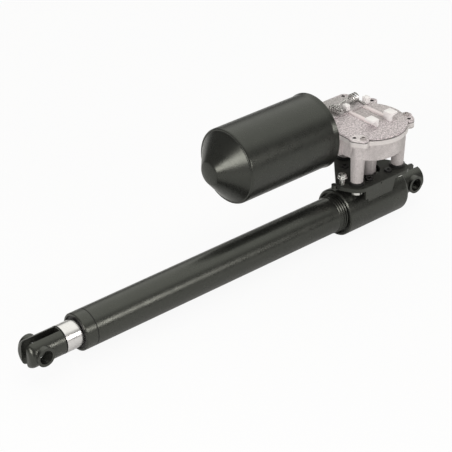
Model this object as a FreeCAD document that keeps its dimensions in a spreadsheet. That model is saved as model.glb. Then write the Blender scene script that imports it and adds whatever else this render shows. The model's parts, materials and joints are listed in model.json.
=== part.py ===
import FreeCAD, Part
import math
import os
import re
import Sketcher

# Electric linear actuator: a worm gearmotor on a bracket turns a vertical shaft, and a pair of mitre
# gears turns the lead screw that drives the rod out of its tube.
# Frame: origin at the centre of the rear pivot, +X the way the rod extends, +Y the open side of the
# bracket, +Z up through the gearbox. Millimetres.

SIZES = {
    # Clevis ends and pivots
    "bar_r": 14.0,
    "rear_end": 15.6,
    "front_end": 14.2,
    "front_round": 6.0,
    "end_chamfer": 2.8,
    "shoulder_edge": 0.8,
    "slot_w": 8.3,
    "rear_slot": 17.0,
    "front_slot": 23.5,
    "bush_r": 9.8,
    "bush_bore_r": 7.0,
    "bush_reach": 15.6,
    # Travel and overall length
    "stroke": 250.0,
    "dead_length": 238.0,
    "cap_setback": 58.0,
    "clevis_reach": 25.2,
    # Rear housing
    "rear_neck": 20.0,
    "housing_r": 25.4,
    "housing_len": 87.5,
    "rear_wall": 12.0,
    "rear_round": 5.0,
    "rim_chamfer": 1.2,
    "chamber_r": 18.0,
    "clevis_head": 5.0,
    "mouth_r": 22.5,
    "mouth_depth": 3.5,
    "drive_x": 62.0,
    "pad_rise": 6.1,
    "pad_half_x": 18.0,
    "pad_half_y": 22.0,
    # Screw, nut and bearing
    "screw_r": 8.0,
    "stub_r": 6.0,
    "collar_r": 10.0,
    "collar_len": 5.0,
    "screw_tail": 5.0,
    "bearing_w": 12.0,
    "race_wall": 3.0,
    "ball_count": 9,
    "cage_t": 2.0,
    "cage_w": 3.0,
    "rest_gap": 26.0,
    "nut_flange": 12.0,
    "nut_spigot": 20.0,
    # Mitre gears
    "mitre_teeth": 16,
    "mitre_module": 1.5,
    "mitre_face": 6.0,
    "mitre_hub_r": 10.0,
    "mitre_hub": 6.0,
    # Tube, cap and rod
    "tube_r": 19.05,
    "tube_wall": 2.55,
    "cap_len": 13.6,
    "cap_spigot": 15.0,
    "cap_round": 1.2,
    "seam_groove": 1.0,
    "seam_depth": 1.3,
    "rod_r": 14.0,
    "rod_wall": 3.5,
    "clevis_spigot": 14.0,
    "guide_wall": 1.2,
    "guide_len": 16.0,
    "seal_wall": 2.6,
    "seal_len": 5.0,
    "seal_setback": 1.5,
    # Bracket and leg fastenings
    "plate_t": 4.5,
    "flange_t": 2.8,
    "flange_drop": 15.0,
    "flange_inset": 0.8,
    "flange_short": 14.0,
    "flange_lean": 4.2,
    "pip_x": 68.5,
    "pip_drop": 2.2,
    "pip_r": 0.9,
    "far_ear_r": 9.5,
    "back_ear_r": 11.0,
    "earth_x": 104.0,
    "earth_y": 6.6,
    "earth_ear_r": 6.5,
    "corner_x": 111.0,
    "corner_y": 2.0,
    "corner_r": 3.0,
    "screw_dx": 14.0,
    "screw_dy": 18.0,
    "bracket_screw_r": 2.5,
    "bracket_head_r": 4.2,
    "bracket_head": 2.0,
    "bracket_screw_len": 10.0,
    "leg_bolt_r": 3.0,
    "bolt_head_r": 6.6,
    "bolt_head": 7.0,
    "bolt_crown": 2.4,
    "washer_r": 7.0,
    "washer_t": 1.5,
    "bolt_grip": 12.0,
    "grommet_r": 8.2,
    "grommet_t": 3.0,
    "earth_head_r": 5.0,
    "earth_head": 5.0,
    "earth_shank_r": 2.7,
    "earth_stand": 7.5,
    # Gearbox case and lid
    "leg_circle": 33.5,
    "leg_angle": 27.5,
    "leg_r": 6.6,
    "leg_top_r": 7.6,
    "leg_cap": 13.5,
    "leg_cap_r": 5.8,
    "leg_len": 27.5,
    "boss_r": 9.6,
    "boss_top_r": 11.0,
    "boss_len": 40.0,
    "boss_room": 4.5,
    "foot_step": 2.5,
    "foot_step_h": 2.0,
    "case_r": 41.0,
    "case_wall": 2.4,
    "case_depth": 23.7,
    "floor_t": 4.0,
    "rim_height": 4.8,
    "rim_step": 1.8,
    "gasket_t": 0.8,
    "lid_t": 2.0,
    "lid_inset": 1.0,
    "gasket_inset": 1.5,
    "lug_circle": 42.0,
    "lug_angle": 31.0,
    "lug_pitch": 6.4,
    "lug_r": 5.6,
    "lug_depth": 6.2,
    "lug_skin": 1.6,
    "back_lug_angle": 221.0,
    "back_lug_circle": 46.0,
    "lid_hole_r": 2.1,
    "lid_screw_r": 1.8,
    "lid_head_r": 3.2,
    "lid_head": 1.8,
    "lid_screw_len": 8.0,
    "box_back": 26.0,
    "box_depth": 22.0,
    "box_corner": 7.0,
    "box_hole": 4.6,
    "tab_y": 13.0,
    "motor_flange_t": 6.0,
    "motor_reach": 48.0,
    # Worm drive
    "worm_module": 1.5,
    "dedendum": 1.25,
    "tooth_foot": 0.6,
    "tooth_tip": 0.36,
    "tooth_sink": 0.25,
    "wheel_teeth": 44,
    "worm_pitch_r": 7.0,
    "worm_rise": 13.5,
    "worm_half": 15.0,
    "wheel_w": 12.0,
    "wheel_web": 5.0,
    "wheel_hub_r": 9.0,
    "wheel_rim": 5.0,
    "output_r": 4.5,
    "output_bush_wall": 1.5,
    # Motor
    "can_r": 36.7,
    "can_wall": 2.2,
    "can_nose_r": 10.0,
    "can_nose": 7.0,
    "can_gap": 1.5,
    "boot_wall": 3.0,
    "boot_len": 119.5,
    "boot_cone": 22.0,
    "boot_shoulder": 3.5,
    "boot_nub_r": 11.5,
    "boot_nub_round": 3.0,
    "boot_bead": 1.8,
    "boot_bead_len": 5.8,
    "boot_edge": 1.0,
    "arm_shaft_r": 4.0,
    "arm_bush_wall": 3.0,
    "arm_bush_len": 8.0,
    "core_r": 28.0,
    "core_start": 34.0,
    "core_slots": 12,
    "slot_depth": 10.0,
    "slot_half": 2.2,
    "coil_overhang": 9.0,
    "coil_room": 6.8,
    "coil_bore_r": 8.5,
    "comm_r": 11.0,
    "comm_start": 8.0,
    "comm_len": 16.0,
    "magnet_t": 5.0,
    "magnet_extra": 5.0,
    "magnet_gap_angle": 40.0,
    "holder_start": 3.0,
    "holder_t": 3.0,
    "holder_bore_r": 14.5,
    "brush_w": 6.0,
    "brush_len": 12.0,
    "motor_screw_r": 2.2,
    "motor_screw_angle": 35.0,
    "motor_screw_len": 6.0,
    "motor_head_r": 4.0,
    "motor_head": 2.5,
    # Deck and fittings on the lid
    "deck_h": 1.5,
    "deck_left": -21.0,
    "deck_turn": 6.0,
    "deck_front": -25.0,
    "deck_side": -50.0,
    "deck_back": -59.5,
    "strip_one": 2.7,
    "strip_two": -18.6,
    "strip_w": 5.2,
    "strip_h": 2.2,
    "hook_one": 2.2,
    "hook_two": -14.4,
    "hook_start_one": 5.4,
    "hook_start_two": 6.0,
    "hook_w": 10.0,
    "hook_len": 11.0,
    "hook_h": 9.0,
    "hook_web": 2.7,
    "hook_roof": 2.6,
    "post_one": 3.8,
    "post_two": -25.2,
    "post_w": 6.5,
    "post_len": 7.0,
    "post_h": 8.5,
    "post_setback": 1.0,
    "choke_wire": 1.0,
    "choke_one": 17.0,
    "choke_one_r": 4.0,
    "choke_one_len": 15.0,
    "choke_two": -9.0,
    "choke_two_y": -37.4,
    "choke_two_r": 5.4,
    "choke_two_len": 11.0,
    # Fits
    "fit_gap": 0.02,
    "run_gap": 0.05,
    "free_gap": 0.3,
}

PLACES = {
    # Along the screw axis
    "pin_to_pin": "stroke + dead_length",
    "seam_x": "pin_to_pin - cap_setback",
    "cap_x": "seam_x + cap_len",
    "shoulder_x": "pin_to_pin - clevis_reach",
    "housing_x": "rear_neck + housing_len",
    "chamber_x": "rear_neck + rear_wall",
    "mitre_r": "mitre_module * mitre_teeth / 2",
    "bearing_x": "drive_x + mitre_r + mitre_hub",
    "tube_x": "bearing_x + bearing_w",
    "nut_x": "tube_x + rest_gap",
    "rod_x": "nut_x + nut_flange",
    "screw_end": "rod_x + nut_spigot + stroke + screw_tail",
    "tube_bore": "tube_r - tube_wall",
    "rod_bore": "rod_r - rod_wall",
    "race_r": "tube_r - fit_gap",
    # Up through the gearbox
    "pad_z": "housing_r + pad_rise",
    "plate_z": "pad_z + plate_t",
    "foot_z": "plate_z + grommet_t",
    "case_z": "foot_z + leg_len",
    "rim_z": "case_z + case_depth",
    "lid_z": "rim_z + gasket_t",
    "top_z": "lid_z + lid_t",
    "floor_z": "case_z + floor_t",
    "worm_z": "case_z + worm_rise",
    "wheel_r": "worm_module * wheel_teeth / 2",
    "worm_y": "-(wheel_r + worm_pitch_r)",
    "cavity_r": "wheel_r + worm_module + free_gap",
    "case_foot_r": "cavity_r + case_wall",
    # Legs and bracket
    "leg_x": "leg_circle * cos(leg_angle)",
    "leg_y": "leg_circle * sin(leg_angle)",
    "flange_y": "housing_r + free_gap + flange_t",
    "ear_r": "flange_y - leg_y",
    "far_ear_y": "flange_y - far_ear_r",
    # Case box over the worm, and the motor
    "flange_x": "drive_x + motor_reach",
    "flange_back": "flange_x - motor_flange_t",
    "box_x": "drive_x - box_back",
    "box_y": "worm_y - box_depth",
    "boot_r": "can_r + free_gap + boot_wall",
    "boot_x": "flange_back + boot_len",
    "core_x": "flange_x + core_start",
    "comm_x": "flange_x + comm_start",
    "can_end": "boot_x - boot_wall - can_gap - can_nose",
    "core_len": "can_end - can_wall - coil_room - coil_overhang - core_x",
}

doc = FreeCAD.newDocument("linear_actuator")
sheet = doc.addObject("Spreadsheet::Sheet", "sizes")
places = doc.addObject("Spreadsheet::Sheet", "places")


def formula(text):
    """The text with every size and place named by its sheet."""
    def named(match):
        word = match.group(0)
        if word in SIZES:
            return "sizes." + word
        if word in PLACES:
            return "places." + word
        return word
    return re.sub(r"[A-Za-z_]\w*", named, text)


def fill_sheets():
    for row, (name, number) in enumerate(SIZES.items(), start=1):
        sheet.set("A%d" % row, str(number))
        sheet.setAlias("A%d" % row, name)
    doc.recompute()
    for row, (name, text) in enumerate(PLACES.items(), start=1):
        places.set("A%d" % row, "=" + formula(text).replace("places.", ""))
        places.setAlias("A%d" % row, name)
    doc.recompute()


def size(name):
    """A size or place as a number."""
    return float(sheet.get(name) if name in SIZES else places.get(name))


fill_sheets()

TURNS = {
    "x": FreeCAD.Rotation(FreeCAD.Vector(0, 1, 0), 90),
    "y": FreeCAD.Rotation(FreeCAD.Vector(1, 0, 0), -90),
    "z": FreeCAD.Rotation(),
}
NODES = []


def bind(thing, rules):
    for path, text in rules.items():
        thing.setExpression(path, formula(text))


def put(thing, at, axis="z"):
    """Stand a solid at a place, with its own Z along an axis of the frame."""
    thing.Placement = FreeCAD.Placement(FreeCAD.Vector(), TURNS[axis])
    bind(thing, {"Placement.Base." + key: text for key, text in zip("xyz", at)})
    return thing


def cylinder(name, radius, length, at, axis="z"):
    thing = doc.addObject("Part::Cylinder", name)
    bind(thing, {"Radius": radius, "Height": length})
    return put(thing, at, axis)


def cone(name, low_r, high_r, length, at, axis="z"):
    thing = doc.addObject("Part::Cone", name)
    bind(thing, {"Radius1": low_r, "Radius2": high_r, "Height": length})
    return put(thing, at, axis)


def block(name, lengths, at):
    thing = doc.addObject("Part::Box", name)
    bind(thing, dict(zip(("Length", "Width", "Height"), lengths)))
    return put(thing, at)


def slanted_block(name, lengths, at, angle):
    """A block turned about its corner in plan."""
    thing = block(name, lengths, at)
    thing.Placement.Rotation = FreeCAD.Rotation(FreeCAD.Vector(0, 0, 1), 45)
    bind(thing, {"Placement.Rotation.Angle": angle})
    return thing


def fuse(name, *things):
    thing = doc.addObject("Part::MultiFuse", name)
    thing.Shapes = list(things)
    thing.Refine = True
    return thing


def cut(name, base, *tools):
    tool = tools[0] if len(tools) == 1 else fuse(name + "_tools", *tools)
    thing = doc.addObject("Part::Cut", name)
    thing.Base = base
    thing.Tool = tool
    thing.Refine = True
    return thing


def tube(name, outer, inner, length, at, axis="z"):
    outside = cylinder(name + "_outside", outer, length, at, axis)
    return cut(name, outside, cylinder(name + "_bore", inner, length, at, axis))


def group(name, *things):
    """Like pieces that share one node as separate solids."""
    thing = doc.addObject("Part::Compound", name)
    thing.Links = list(things)
    return thing


def node(label, thing):
    thing.Label = label
    NODES.append(thing)
    return thing


def plane(body, role):
    for feature in body.Origin.OriginFeatures:
        if feature.Role == role:
            return feature
    raise ValueError(role)


def sketch(body, name, role, offset=("0", "0", "0")):
    """A sketch on one of the body's own origin planes, shifted along the sketch's own axes."""
    drawing = body.newObject("Sketcher::SketchObject", name)
    drawing.AttachmentSupport = (plane(body, role), [""])
    drawing.MapMode = "FlatFace"
    bind(drawing, {"AttachmentOffset.Base." + key: text for key, text in zip("xyz", offset)})
    return drawing


def pin_point(drawing, index, end, spot):
    """Hold one point of a sketch at a named place from the sketch's origin."""
    for kind, axis, text in zip(("DistanceX", "DistanceY"), (-2, -1), spot):
        if text == "0":
            drawing.addConstraint(Sketcher.Constraint("PointOnObject", index, end, axis))
        else:
            number = drawing.addConstraint(Sketcher.Constraint(kind, -1, 1, index, end, 1.0))
            drawing.setExpression("Constraints[%d]" % number, formula(text))


def outline(drawing, spots):
    """A closed outline of straight lines through named places."""
    count = len(spots)
    for index in range(count):
        turn = 2 * math.pi * index / count
        onward = 2 * math.pi * (index + 1) / count
        start = FreeCAD.Vector(math.cos(turn), math.sin(turn), 0)
        finish = FreeCAD.Vector(math.cos(onward), math.sin(onward), 0)
        drawing.addGeometry(Part.LineSegment(start, finish))
    for index, spot in enumerate(spots):
        drawing.addConstraint(Sketcher.Constraint("Coincident", index, 2, (index + 1) % count, 1))
        pin_point(drawing, index, 1, spot)


def circle(drawing, spot, radius):
    index = drawing.addGeometry(Part.Circle(FreeCAD.Vector(1, 1, 0), FreeCAD.Vector(0, 0, 1), 1))
    pin_point(drawing, index, 3, spot)
    number = drawing.addConstraint(Sketcher.Constraint("Radius", index, 1.0))
    drawing.setExpression("Constraints[%d]" % number, formula(radius))


def turned(name, spots, at=("0", "0")):
    """A piece turned about a line along X: spots are (x, radius), and at is the line's y and z."""
    body = doc.addObject("PartDesign::Body", name)
    drawing = sketch(body, name + "_profile", "XZ_Plane", ("0", at[1], "-(%s)" % at[0]))
    outline(drawing, spots)
    turn = body.newObject("PartDesign::Revolution", name + "_turn")
    turn.Profile = drawing
    turn.ReferenceAxis = (drawing, ["H_Axis"])
    turn.Angle = 360
    doc.recompute()
    return body


def pad(body, drawing, length, reverse=False):
    feature = body.newObject("PartDesign::Pad", drawing.Name + "_pad")
    feature.Profile = drawing
    feature.Reversed = reverse
    bind(feature, {"Length": length})
    return feature


def pocket(body, drawing, length, reverse=False):
    feature = body.newObject("PartDesign::Pocket", drawing.Name + "_pocket")
    feature.Profile = drawing
    feature.Reversed = reverse
    bind(feature, {"Length": length})
    return feature


def dress(body, kind, amount, wanted):
    """Round or chamfer the edges of the body that the test picks."""
    doc.recompute()
    base = body.Tip
    names = ["Edge%d" % (i + 1) for i, edge in enumerate(base.Shape.Edges) if wanted(edge)]
    feature = body.newObject("PartDesign::" + kind, "%s_%s" % (body.Name, kind.lower()))
    feature.Base = (base, names)
    bind(feature, {"Radius" if kind == "Fillet" else "Size": amount})
    doc.recompute()
    return feature


def ring_at(x, radius):
    """Picks the round edge at a place along X with a given radius."""
    def wanted(edge):
        curve = edge.Curve
        return (isinstance(curve, Part.Circle) and abs(curve.Radius - radius) < 1e-4
                and abs(curve.Center.x - x) < 1e-4)
    return wanted


def polar(radius, angle):
    """Place on a circle round the output shaft."""
    return "drive_x + %s * cos(%s)" % (radius, angle), "%s * sin(%s)" % (radius, angle)


LEGS = [("drive_x + leg_x", "leg_y"), ("drive_x - leg_x", "leg_y"), ("drive_x", "-leg_circle")]
LEG_NAMES = ["near", "far", "back"]


def clevis_end(name, bar, pin, slot_low, slot_high):
    """A turned bar whose end is slotted for the mating eye and cross bored for the bushes."""
    slot = block(name + "_slot", ("%s - (%s)" % (slot_high, slot_low), "slot_w", "4 * bar_r"),
                 (slot_low, "-slot_w / 2", "-2 * bar_r"))
    cross = cylinder(name + "_cross", "bush_r + fit_gap", "4 * bar_r", (pin, "-2 * bar_r", "0"), "y")
    return node(name, cut(name, bar, slot, cross))


def bush_pair(name, pin):
    length = "bush_reach - slot_w / 2"
    near = tube(name + "_near", "bush_r", "bush_bore_r", length, (pin, "slot_w / 2", "0"), "y")
    far = tube(name + "_far", "bush_r", "bush_bore_r", length, (pin, "-bush_reach", "0"), "y")
    return node(name, group(name, near, far))


def rear_clevis():
    head_x = "chamber_x + clevis_head"
    spots = [
        ("-rear_end", "0"),
        ("-rear_end", "bar_r - end_chamfer"),
        ("end_chamfer - rear_end", "bar_r"),
        ("chamber_x", "bar_r"),
        ("chamber_x", "chamber_r - free_gap"),
        (head_x, "chamber_r - free_gap"),
        (head_x, "0"),
    ]
    clevis_end("rear_clevis", turned("rear_clevis_bar", spots), "0", "-2 * rear_end", "rear_slot")
    bush_pair("rear_bushes", "0")


def front_clevis():
    end_x = "pin_to_pin + front_end"
    root_x = "shoulder_x - clevis_spigot"
    spots = [
        (root_x, "0"),
        (root_x, "rod_bore - fit_gap"),
        ("shoulder_x", "rod_bore - fit_gap"),
        ("shoulder_x", "bar_r - shoulder_edge"),
        ("shoulder_x + shoulder_edge", "bar_r"),
        (end_x, "bar_r"),
        (end_x, "0"),
    ]
    bar = turned("front_clevis_bar", spots)
    dress(bar, "Fillet", "front_round", ring_at(size("pin_to_pin") + size("front_end"), size("bar_r")))
    clevis_end("front_clevis", bar, "pin_to_pin", "pin_to_pin - front_slot", "pin_to_pin + 2 * front_end")
    bush_pair("front_bushes", "pin_to_pin")


def rear_housing():
    """Thick-walled barrel with a pad on top for the bracket; the tube screws into its mouth."""
    body = turned("housing_barrel", [
        ("rear_neck", "0"),
        ("rear_neck", "housing_r"),
        ("housing_x", "housing_r"),
        ("housing_x", "0"),
    ])
    dress(body, "Fillet", "rear_round", ring_at(size("rear_neck"), size("housing_r")))
    dress(body, "Chamfer", "rim_chamfer", ring_at(size("housing_x"), size("housing_r")))
    pad_block = block("housing_pad", ("2 * pad_half_x", "2 * pad_half_y", "pad_z"),
                      ("drive_x - pad_half_x", "-pad_half_y", "0"))
    bores = turned("housing_bores", [
        ("rear_neck - rear_wall", "0"),
        ("rear_neck - rear_wall", "bar_r + fit_gap"),
        ("chamber_x", "bar_r + fit_gap"),
        ("chamber_x", "chamber_r"),
        ("bearing_x", "chamber_r"),
        ("bearing_x", "tube_r + fit_gap"),
        ("housing_x - mouth_depth", "tube_r + fit_gap"),
        ("housing_x - mouth_depth", "mouth_r"),
        ("housing_x + mouth_depth", "mouth_r"),
        ("housing_x + mouth_depth", "0"),
    ])
    well = cylinder("housing_well", "mitre_hub_r + 2 * free_gap", "pad_z", ("drive_x", "0", "0"))
    taps = [cylinder("housing_tap_%d" % i, "bracket_screw_r + fit_gap", "bracket_screw_len",
                     (x, y, "pad_z - bracket_screw_len + plate_t"))
            for i, (x, y) in enumerate(screw_spots())]
    node("rear_housing", cut("rear_housing", fuse("housing_blank", body, pad_block), bores, well, *taps))


def screw_spots():
    return [("drive_x %s screw_dx" % a, "%s screw_dy" % b if b == "-" else "screw_dy")
            for a in "+-" for b in "+-"]


def outer_tube():
    at = ("tube_x", "0", "0")
    node("outer_tube", tube("outer_tube", "tube_r", "tube_bore", "seam_x - tube_x", at, "x"))


def front_cap():
    spigot_x = "seam_x - cap_spigot"
    guide_r = "rod_r + run_gap + guide_wall"
    seal_x = "cap_x - seal_setback - seal_len"
    seal_r = "rod_r + run_gap + seal_wall"
    body = turned("front_cap", [
        (spigot_x, guide_r),
        (spigot_x, "tube_bore - fit_gap"),
        ("seam_x", "tube_bore - fit_gap"),
        ("seam_x", "tube_r - seam_depth"),
        ("seam_x + seam_groove", "tube_r - seam_depth"),
        ("seam_x + seam_groove", "tube_r"),
        ("cap_x", "tube_r"),
        ("cap_x", seal_r),
        (seal_x, seal_r),
        (seal_x, guide_r),
    ])
    dress(body, "Fillet", "cap_round", ring_at(size("cap_x"), size("tube_r")))
    node("front_cap", body)
    node("rod_guide", tube("rod_guide", guide_r, "rod_r + run_gap", "guide_len", (spigot_x, "0", "0"), "x"))
    node("rod_seal", tube("rod_seal", seal_r, "rod_r + run_gap", "seal_len", (seal_x, "0", "0"), "x"))


def rod_and_nut():
    node("rod", tube("rod", "rod_r", "rod_bore", "shoulder_x - rod_x", ("rod_x", "0", "0"), "x"))
    nut_end = "rod_x + nut_spigot"
    node("lead_nut", turned("lead_nut", [
        ("nut_x", "screw_r + run_gap"),
        ("nut_x", "tube_bore - free_gap"),
        ("rod_x", "tube_bore - free_gap"),
        ("rod_x", "rod_bore - fit_gap"),
        (nut_end, "rod_bore - fit_gap"),
        (nut_end, "screw_r + run_gap"),
    ]))


def lead_screw():
    start = "drive_x + mitre_r - mitre_face / 2"
    node("lead_screw", turned("lead_screw", [
        (start, "0"),
        (start, "stub_r"),
        ("tube_x", "stub_r"),
        ("tube_x", "collar_r"),
        ("tube_x + collar_len", "collar_r"),
        ("tube_x + collar_len", "screw_r"),
        ("screw_end", "screw_r"),
        ("screw_end", "0"),
    ]))


def screw_bearing():
    """Ball bearing between the housing's shoulder and the tube's end; it takes the screw's thrust."""
    inner_r = "stub_r + fit_gap + race_wall"
    at = ("bearing_x", "0", "0")
    node("bearing_inner", tube("bearing_inner", inner_r, "stub_r + fit_gap", "bearing_w", at, "x"))
    node("bearing_outer", tube("bearing_outer", "race_r", "race_r - race_wall", "bearing_w", at, "x"))
    ball_r = "((race_r - race_wall) - (%s)) / 2 - run_gap" % inner_r
    track_r = "((race_r - race_wall) + (%s)) / 2" % inner_r
    middle = "bearing_x + bearing_w / 2"
    cage = tube("cage_ring", track_r + " + cage_t / 2", track_r + " - cage_t / 2", "cage_w",
                (middle + " - cage_w / 2", "0", "0"), "x")
    balls = []
    count = int(round(size("ball_count")))
    for index in range(count):
        angle = 360.0 * index / count
        ball = doc.addObject("Part::Sphere", "ball_%d" % index)
        bind(ball, {"Radius": ball_r})
        spot = ("%s * cos(%r)" % (track_r, angle), "%s * sin(%r)" % (track_r, angle))
        balls.append(put(ball, (middle,) + spot))
    node("ball_cage", fuse("ball_cage", cage, *balls))


def gear_shape(teeth, module, face, bore, hub_r, hub):
    """A straight mitre gear about X with its cone's apex at the origin and a tooth at the top."""
    pitch_r = module * teeth / 2
    slope = math.sqrt(0.5)
    root_r = pitch_r - 1.25 * module * slope
    root_x = pitch_r + 1.25 * module * slope
    far = pitch_r / slope
    near_share = (far - face) / far
    profile = [
        (root_x * near_share, bore),
        (root_x * near_share, root_r * near_share),
        (root_x, root_r),
        (root_x, hub_r),
        (pitch_r + hub, hub_r),
        (pitch_r + hub, bore),
    ]
    corners = [FreeCAD.Vector(x, 0, z) for x, z in profile]
    blank = Part.Face(Part.makePolygon(corners + corners[:1]))
    solid = blank.revolve(FreeCAD.Vector(), FreeCAD.Vector(1, 0, 0), 360)
    backlash = 0.9
    sections = []
    for share in (near_share, 1.0):
        corners = []
        for depth, half in ((-1.4, 0.62), (1.0, 0.3), (1.0, -0.3), (-1.4, -0.62)):
            rise = pitch_r + depth * module * slope
            along = pitch_r - depth * module * slope
            width = half * backlash * module * math.pi / 2
            corners.append(FreeCAD.Vector(along * share, width * share, rise * share))
        sections.append(Part.makePolygon(corners + corners[:1]))
    tooth = Part.makeLoft(sections, True, True)
    step = 360.0 / teeth
    copies = []
    for index in range(teeth):
        copy = tooth.copy()
        copy.rotate(FreeCAD.Vector(), FreeCAD.Vector(1, 0, 0), index * step)
        copies.append(copy)
    return solid.multiFuse(copies).removeSplitter()


def mitre_gears():
    """The pair turns the drive from the upright output shaft to the screw, in mesh at rest."""
    teeth = int(round(size("mitre_teeth")))
    common = (teeth, size("mitre_module"), size("mitre_face"))
    hub = (size("mitre_hub_r"), size("mitre_hub"))
    apex = FreeCAD.Vector(size("drive_x"), 0, 0)
    gear = doc.addObject("Part::Feature", "mitre_gear")
    gear.Shape = gear_shape(*common, size("stub_r") + size("fit_gap"), *hub)
    gear.Placement = FreeCAD.Placement(apex, FreeCAD.Rotation(FreeCAD.Vector(1, 0, 0), 180.0 / teeth))
    node("mitre_gear", gear)
    pinion = doc.addObject("Part::Feature", "mitre_pinion")
    pinion.Shape = gear_shape(*common, size("output_r") + size("fit_gap"), *hub)
    upright = FreeCAD.Rotation(FreeCAD.Vector(0, 0, 1), 180) * FreeCAD.Rotation(FreeCAD.Vector(0, 1, 0), -90)
    pinion.Placement = FreeCAD.Placement(apex, upright)
    node("mitre_pinion", pinion)


def output_shaft():
    low = "mitre_r - mitre_face / 2"
    node("output_shaft", cylinder("output_shaft", "output_r", "worm_z + wheel_w / 2 - (%s)" % low,
                                  ("drive_x", "0", low)))
    bush_low = "foot_z"
    node("output_bush", tube("output_bush", "output_r + run_gap + output_bush_wall", "output_r + run_gap",
                             "floor_z - " + bush_low, ("drive_x", "0", bush_low)))


def worm_wheel():
    body = doc.addObject("PartDesign::Body", "worm_wheel")
    half = "wheel_w / 2"
    web = "wheel_web / 2"
    root = "wheel_r - dedendum * worm_module"
    drawing = sketch(body, "wheel_profile", "XZ_Plane", ("drive_x", "worm_z", "0"))
    outline(drawing, [
        ("output_r + fit_gap", "-" + half),
        ("wheel_hub_r", "-" + half),
        ("wheel_hub_r", "-" + web),
        (root + " - wheel_rim", "-" + web),
        (root + " - wheel_rim", "-" + half),
        (root, "-" + half),
        (root, half),
        (root + " - wheel_rim", half),
        (root + " - wheel_rim", web),
        ("wheel_hub_r", web),
        ("wheel_hub_r", half),
        ("output_r + fit_gap", half),
    ])
    turn = body.newObject("PartDesign::Revolution", "wheel_turn")
    turn.Profile = drawing
    turn.ReferenceAxis = (drawing, ["V_Axis"])
    turn.Angle = 360
    tooth = sketch(body, "wheel_tooth", "XY_Plane", ("drive_x", "0", "worm_z - wheel_w / 2"))
    outline(tooth, [
        (root + " - tooth_sink * worm_module", "-tooth_foot * worm_module"),
        ("wheel_r + worm_module", "-tooth_tip * worm_module"),
        ("wheel_r + worm_module", "tooth_tip * worm_module"),
        (root + " - tooth_sink * worm_module", "tooth_foot * worm_module"),
    ])
    first = pad(body, tooth, "wheel_w")
    doc.recompute()
    ring = body.newObject("PartDesign::PolarPattern", "wheel_teeth_ring")
    ring.Originals = [first]
    ring.Axis = (tooth, ["N_Axis"])
    ring.Angle = 360
    ring.Occurrences = int(round(size("wheel_teeth")))
    body.Tip = ring
    doc.recompute()
    node("worm_wheel", body)


def lug_spots():
    """The two near lugs each hold a hole and a screw, a third of a turn apart."""
    holes, screws = [], []
    for angle in ("lug_angle", "lug_angle + 120"):
        holes.append(polar("lug_circle", "%s - lug_pitch" % angle))
        screws.append(polar("lug_circle", "%s + lug_pitch" % angle))
    return holes, screws


def back_spots():
    holes = [polar("back_lug_circle", "back_lug_angle"), ("box_x + box_corner", "box_y + box_hole")]
    return holes, [("flange_back - box_corner", "box_y + box_corner")]


def cover_shape(name, low, height, lug_low, lug_height, inset="0"):
    """The outline that the case's rim, the gasket and the lid share: round over the wheel, square over
    the worm, with lugs for the screws."""
    holes, screws = lug_spots()
    back_holes, back_screws = back_spots()
    pieces = [cylinder(name + "_round", "case_r - " + inset, height, ("drive_x", "0", low))]
    wide = "flange_back - free_gap - box_x"
    pieces.append(block(name + "_box", (wide + " - box_corner", "-box_y", height),
                        ("box_x + box_corner", "box_y", low)))
    pieces.append(block(name + "_side", (wide, "-box_y - box_corner", height),
                        ("box_x", "box_y + box_corner", low)))
    pieces.append(cylinder(name + "_corner", "box_corner", height,
                           ("box_x + box_corner", "box_y + box_corner", low)))
    pieces.append(block(name + "_tab", ("flange_back - free_gap - drive_x", "tab_y", height),
                        ("drive_x", "0", low)))
    neck = polar("(back_lug_circle - lug_r)", "back_lug_angle")
    for index, spot in enumerate(holes + screws + back_holes[:1] + [neck]):
        pieces.append(cylinder("%s_lug_%d" % (name, index), "lug_r", lug_height, spot + (lug_low,)))
    reach = "(lug_circle * cos(lug_pitch) - lug_r)"
    half = "lug_circle * sin(lug_pitch)"
    for index, angle in enumerate(("lug_angle", "(lug_angle + 120)")):
        corner = ("drive_x + %s * cos(%s) + %s * sin(%s)" % (reach, angle, half, angle),
                  "%s * sin(%s) - %s * cos(%s)" % (reach, angle, half, angle), lug_low)
        pieces.append(slanted_block("%s_pad_%d" % (name, index), ("2 * lug_r", "2 * " + half, lug_height),
                                    corner, angle))
    return fuse(name + "_blank", *pieces)


def drill(name, radius, spots, low, length):
    return [cylinder("%s_%d" % (name, i), radius, length, spot + (low,)) for i, spot in enumerate(spots)]


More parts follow.
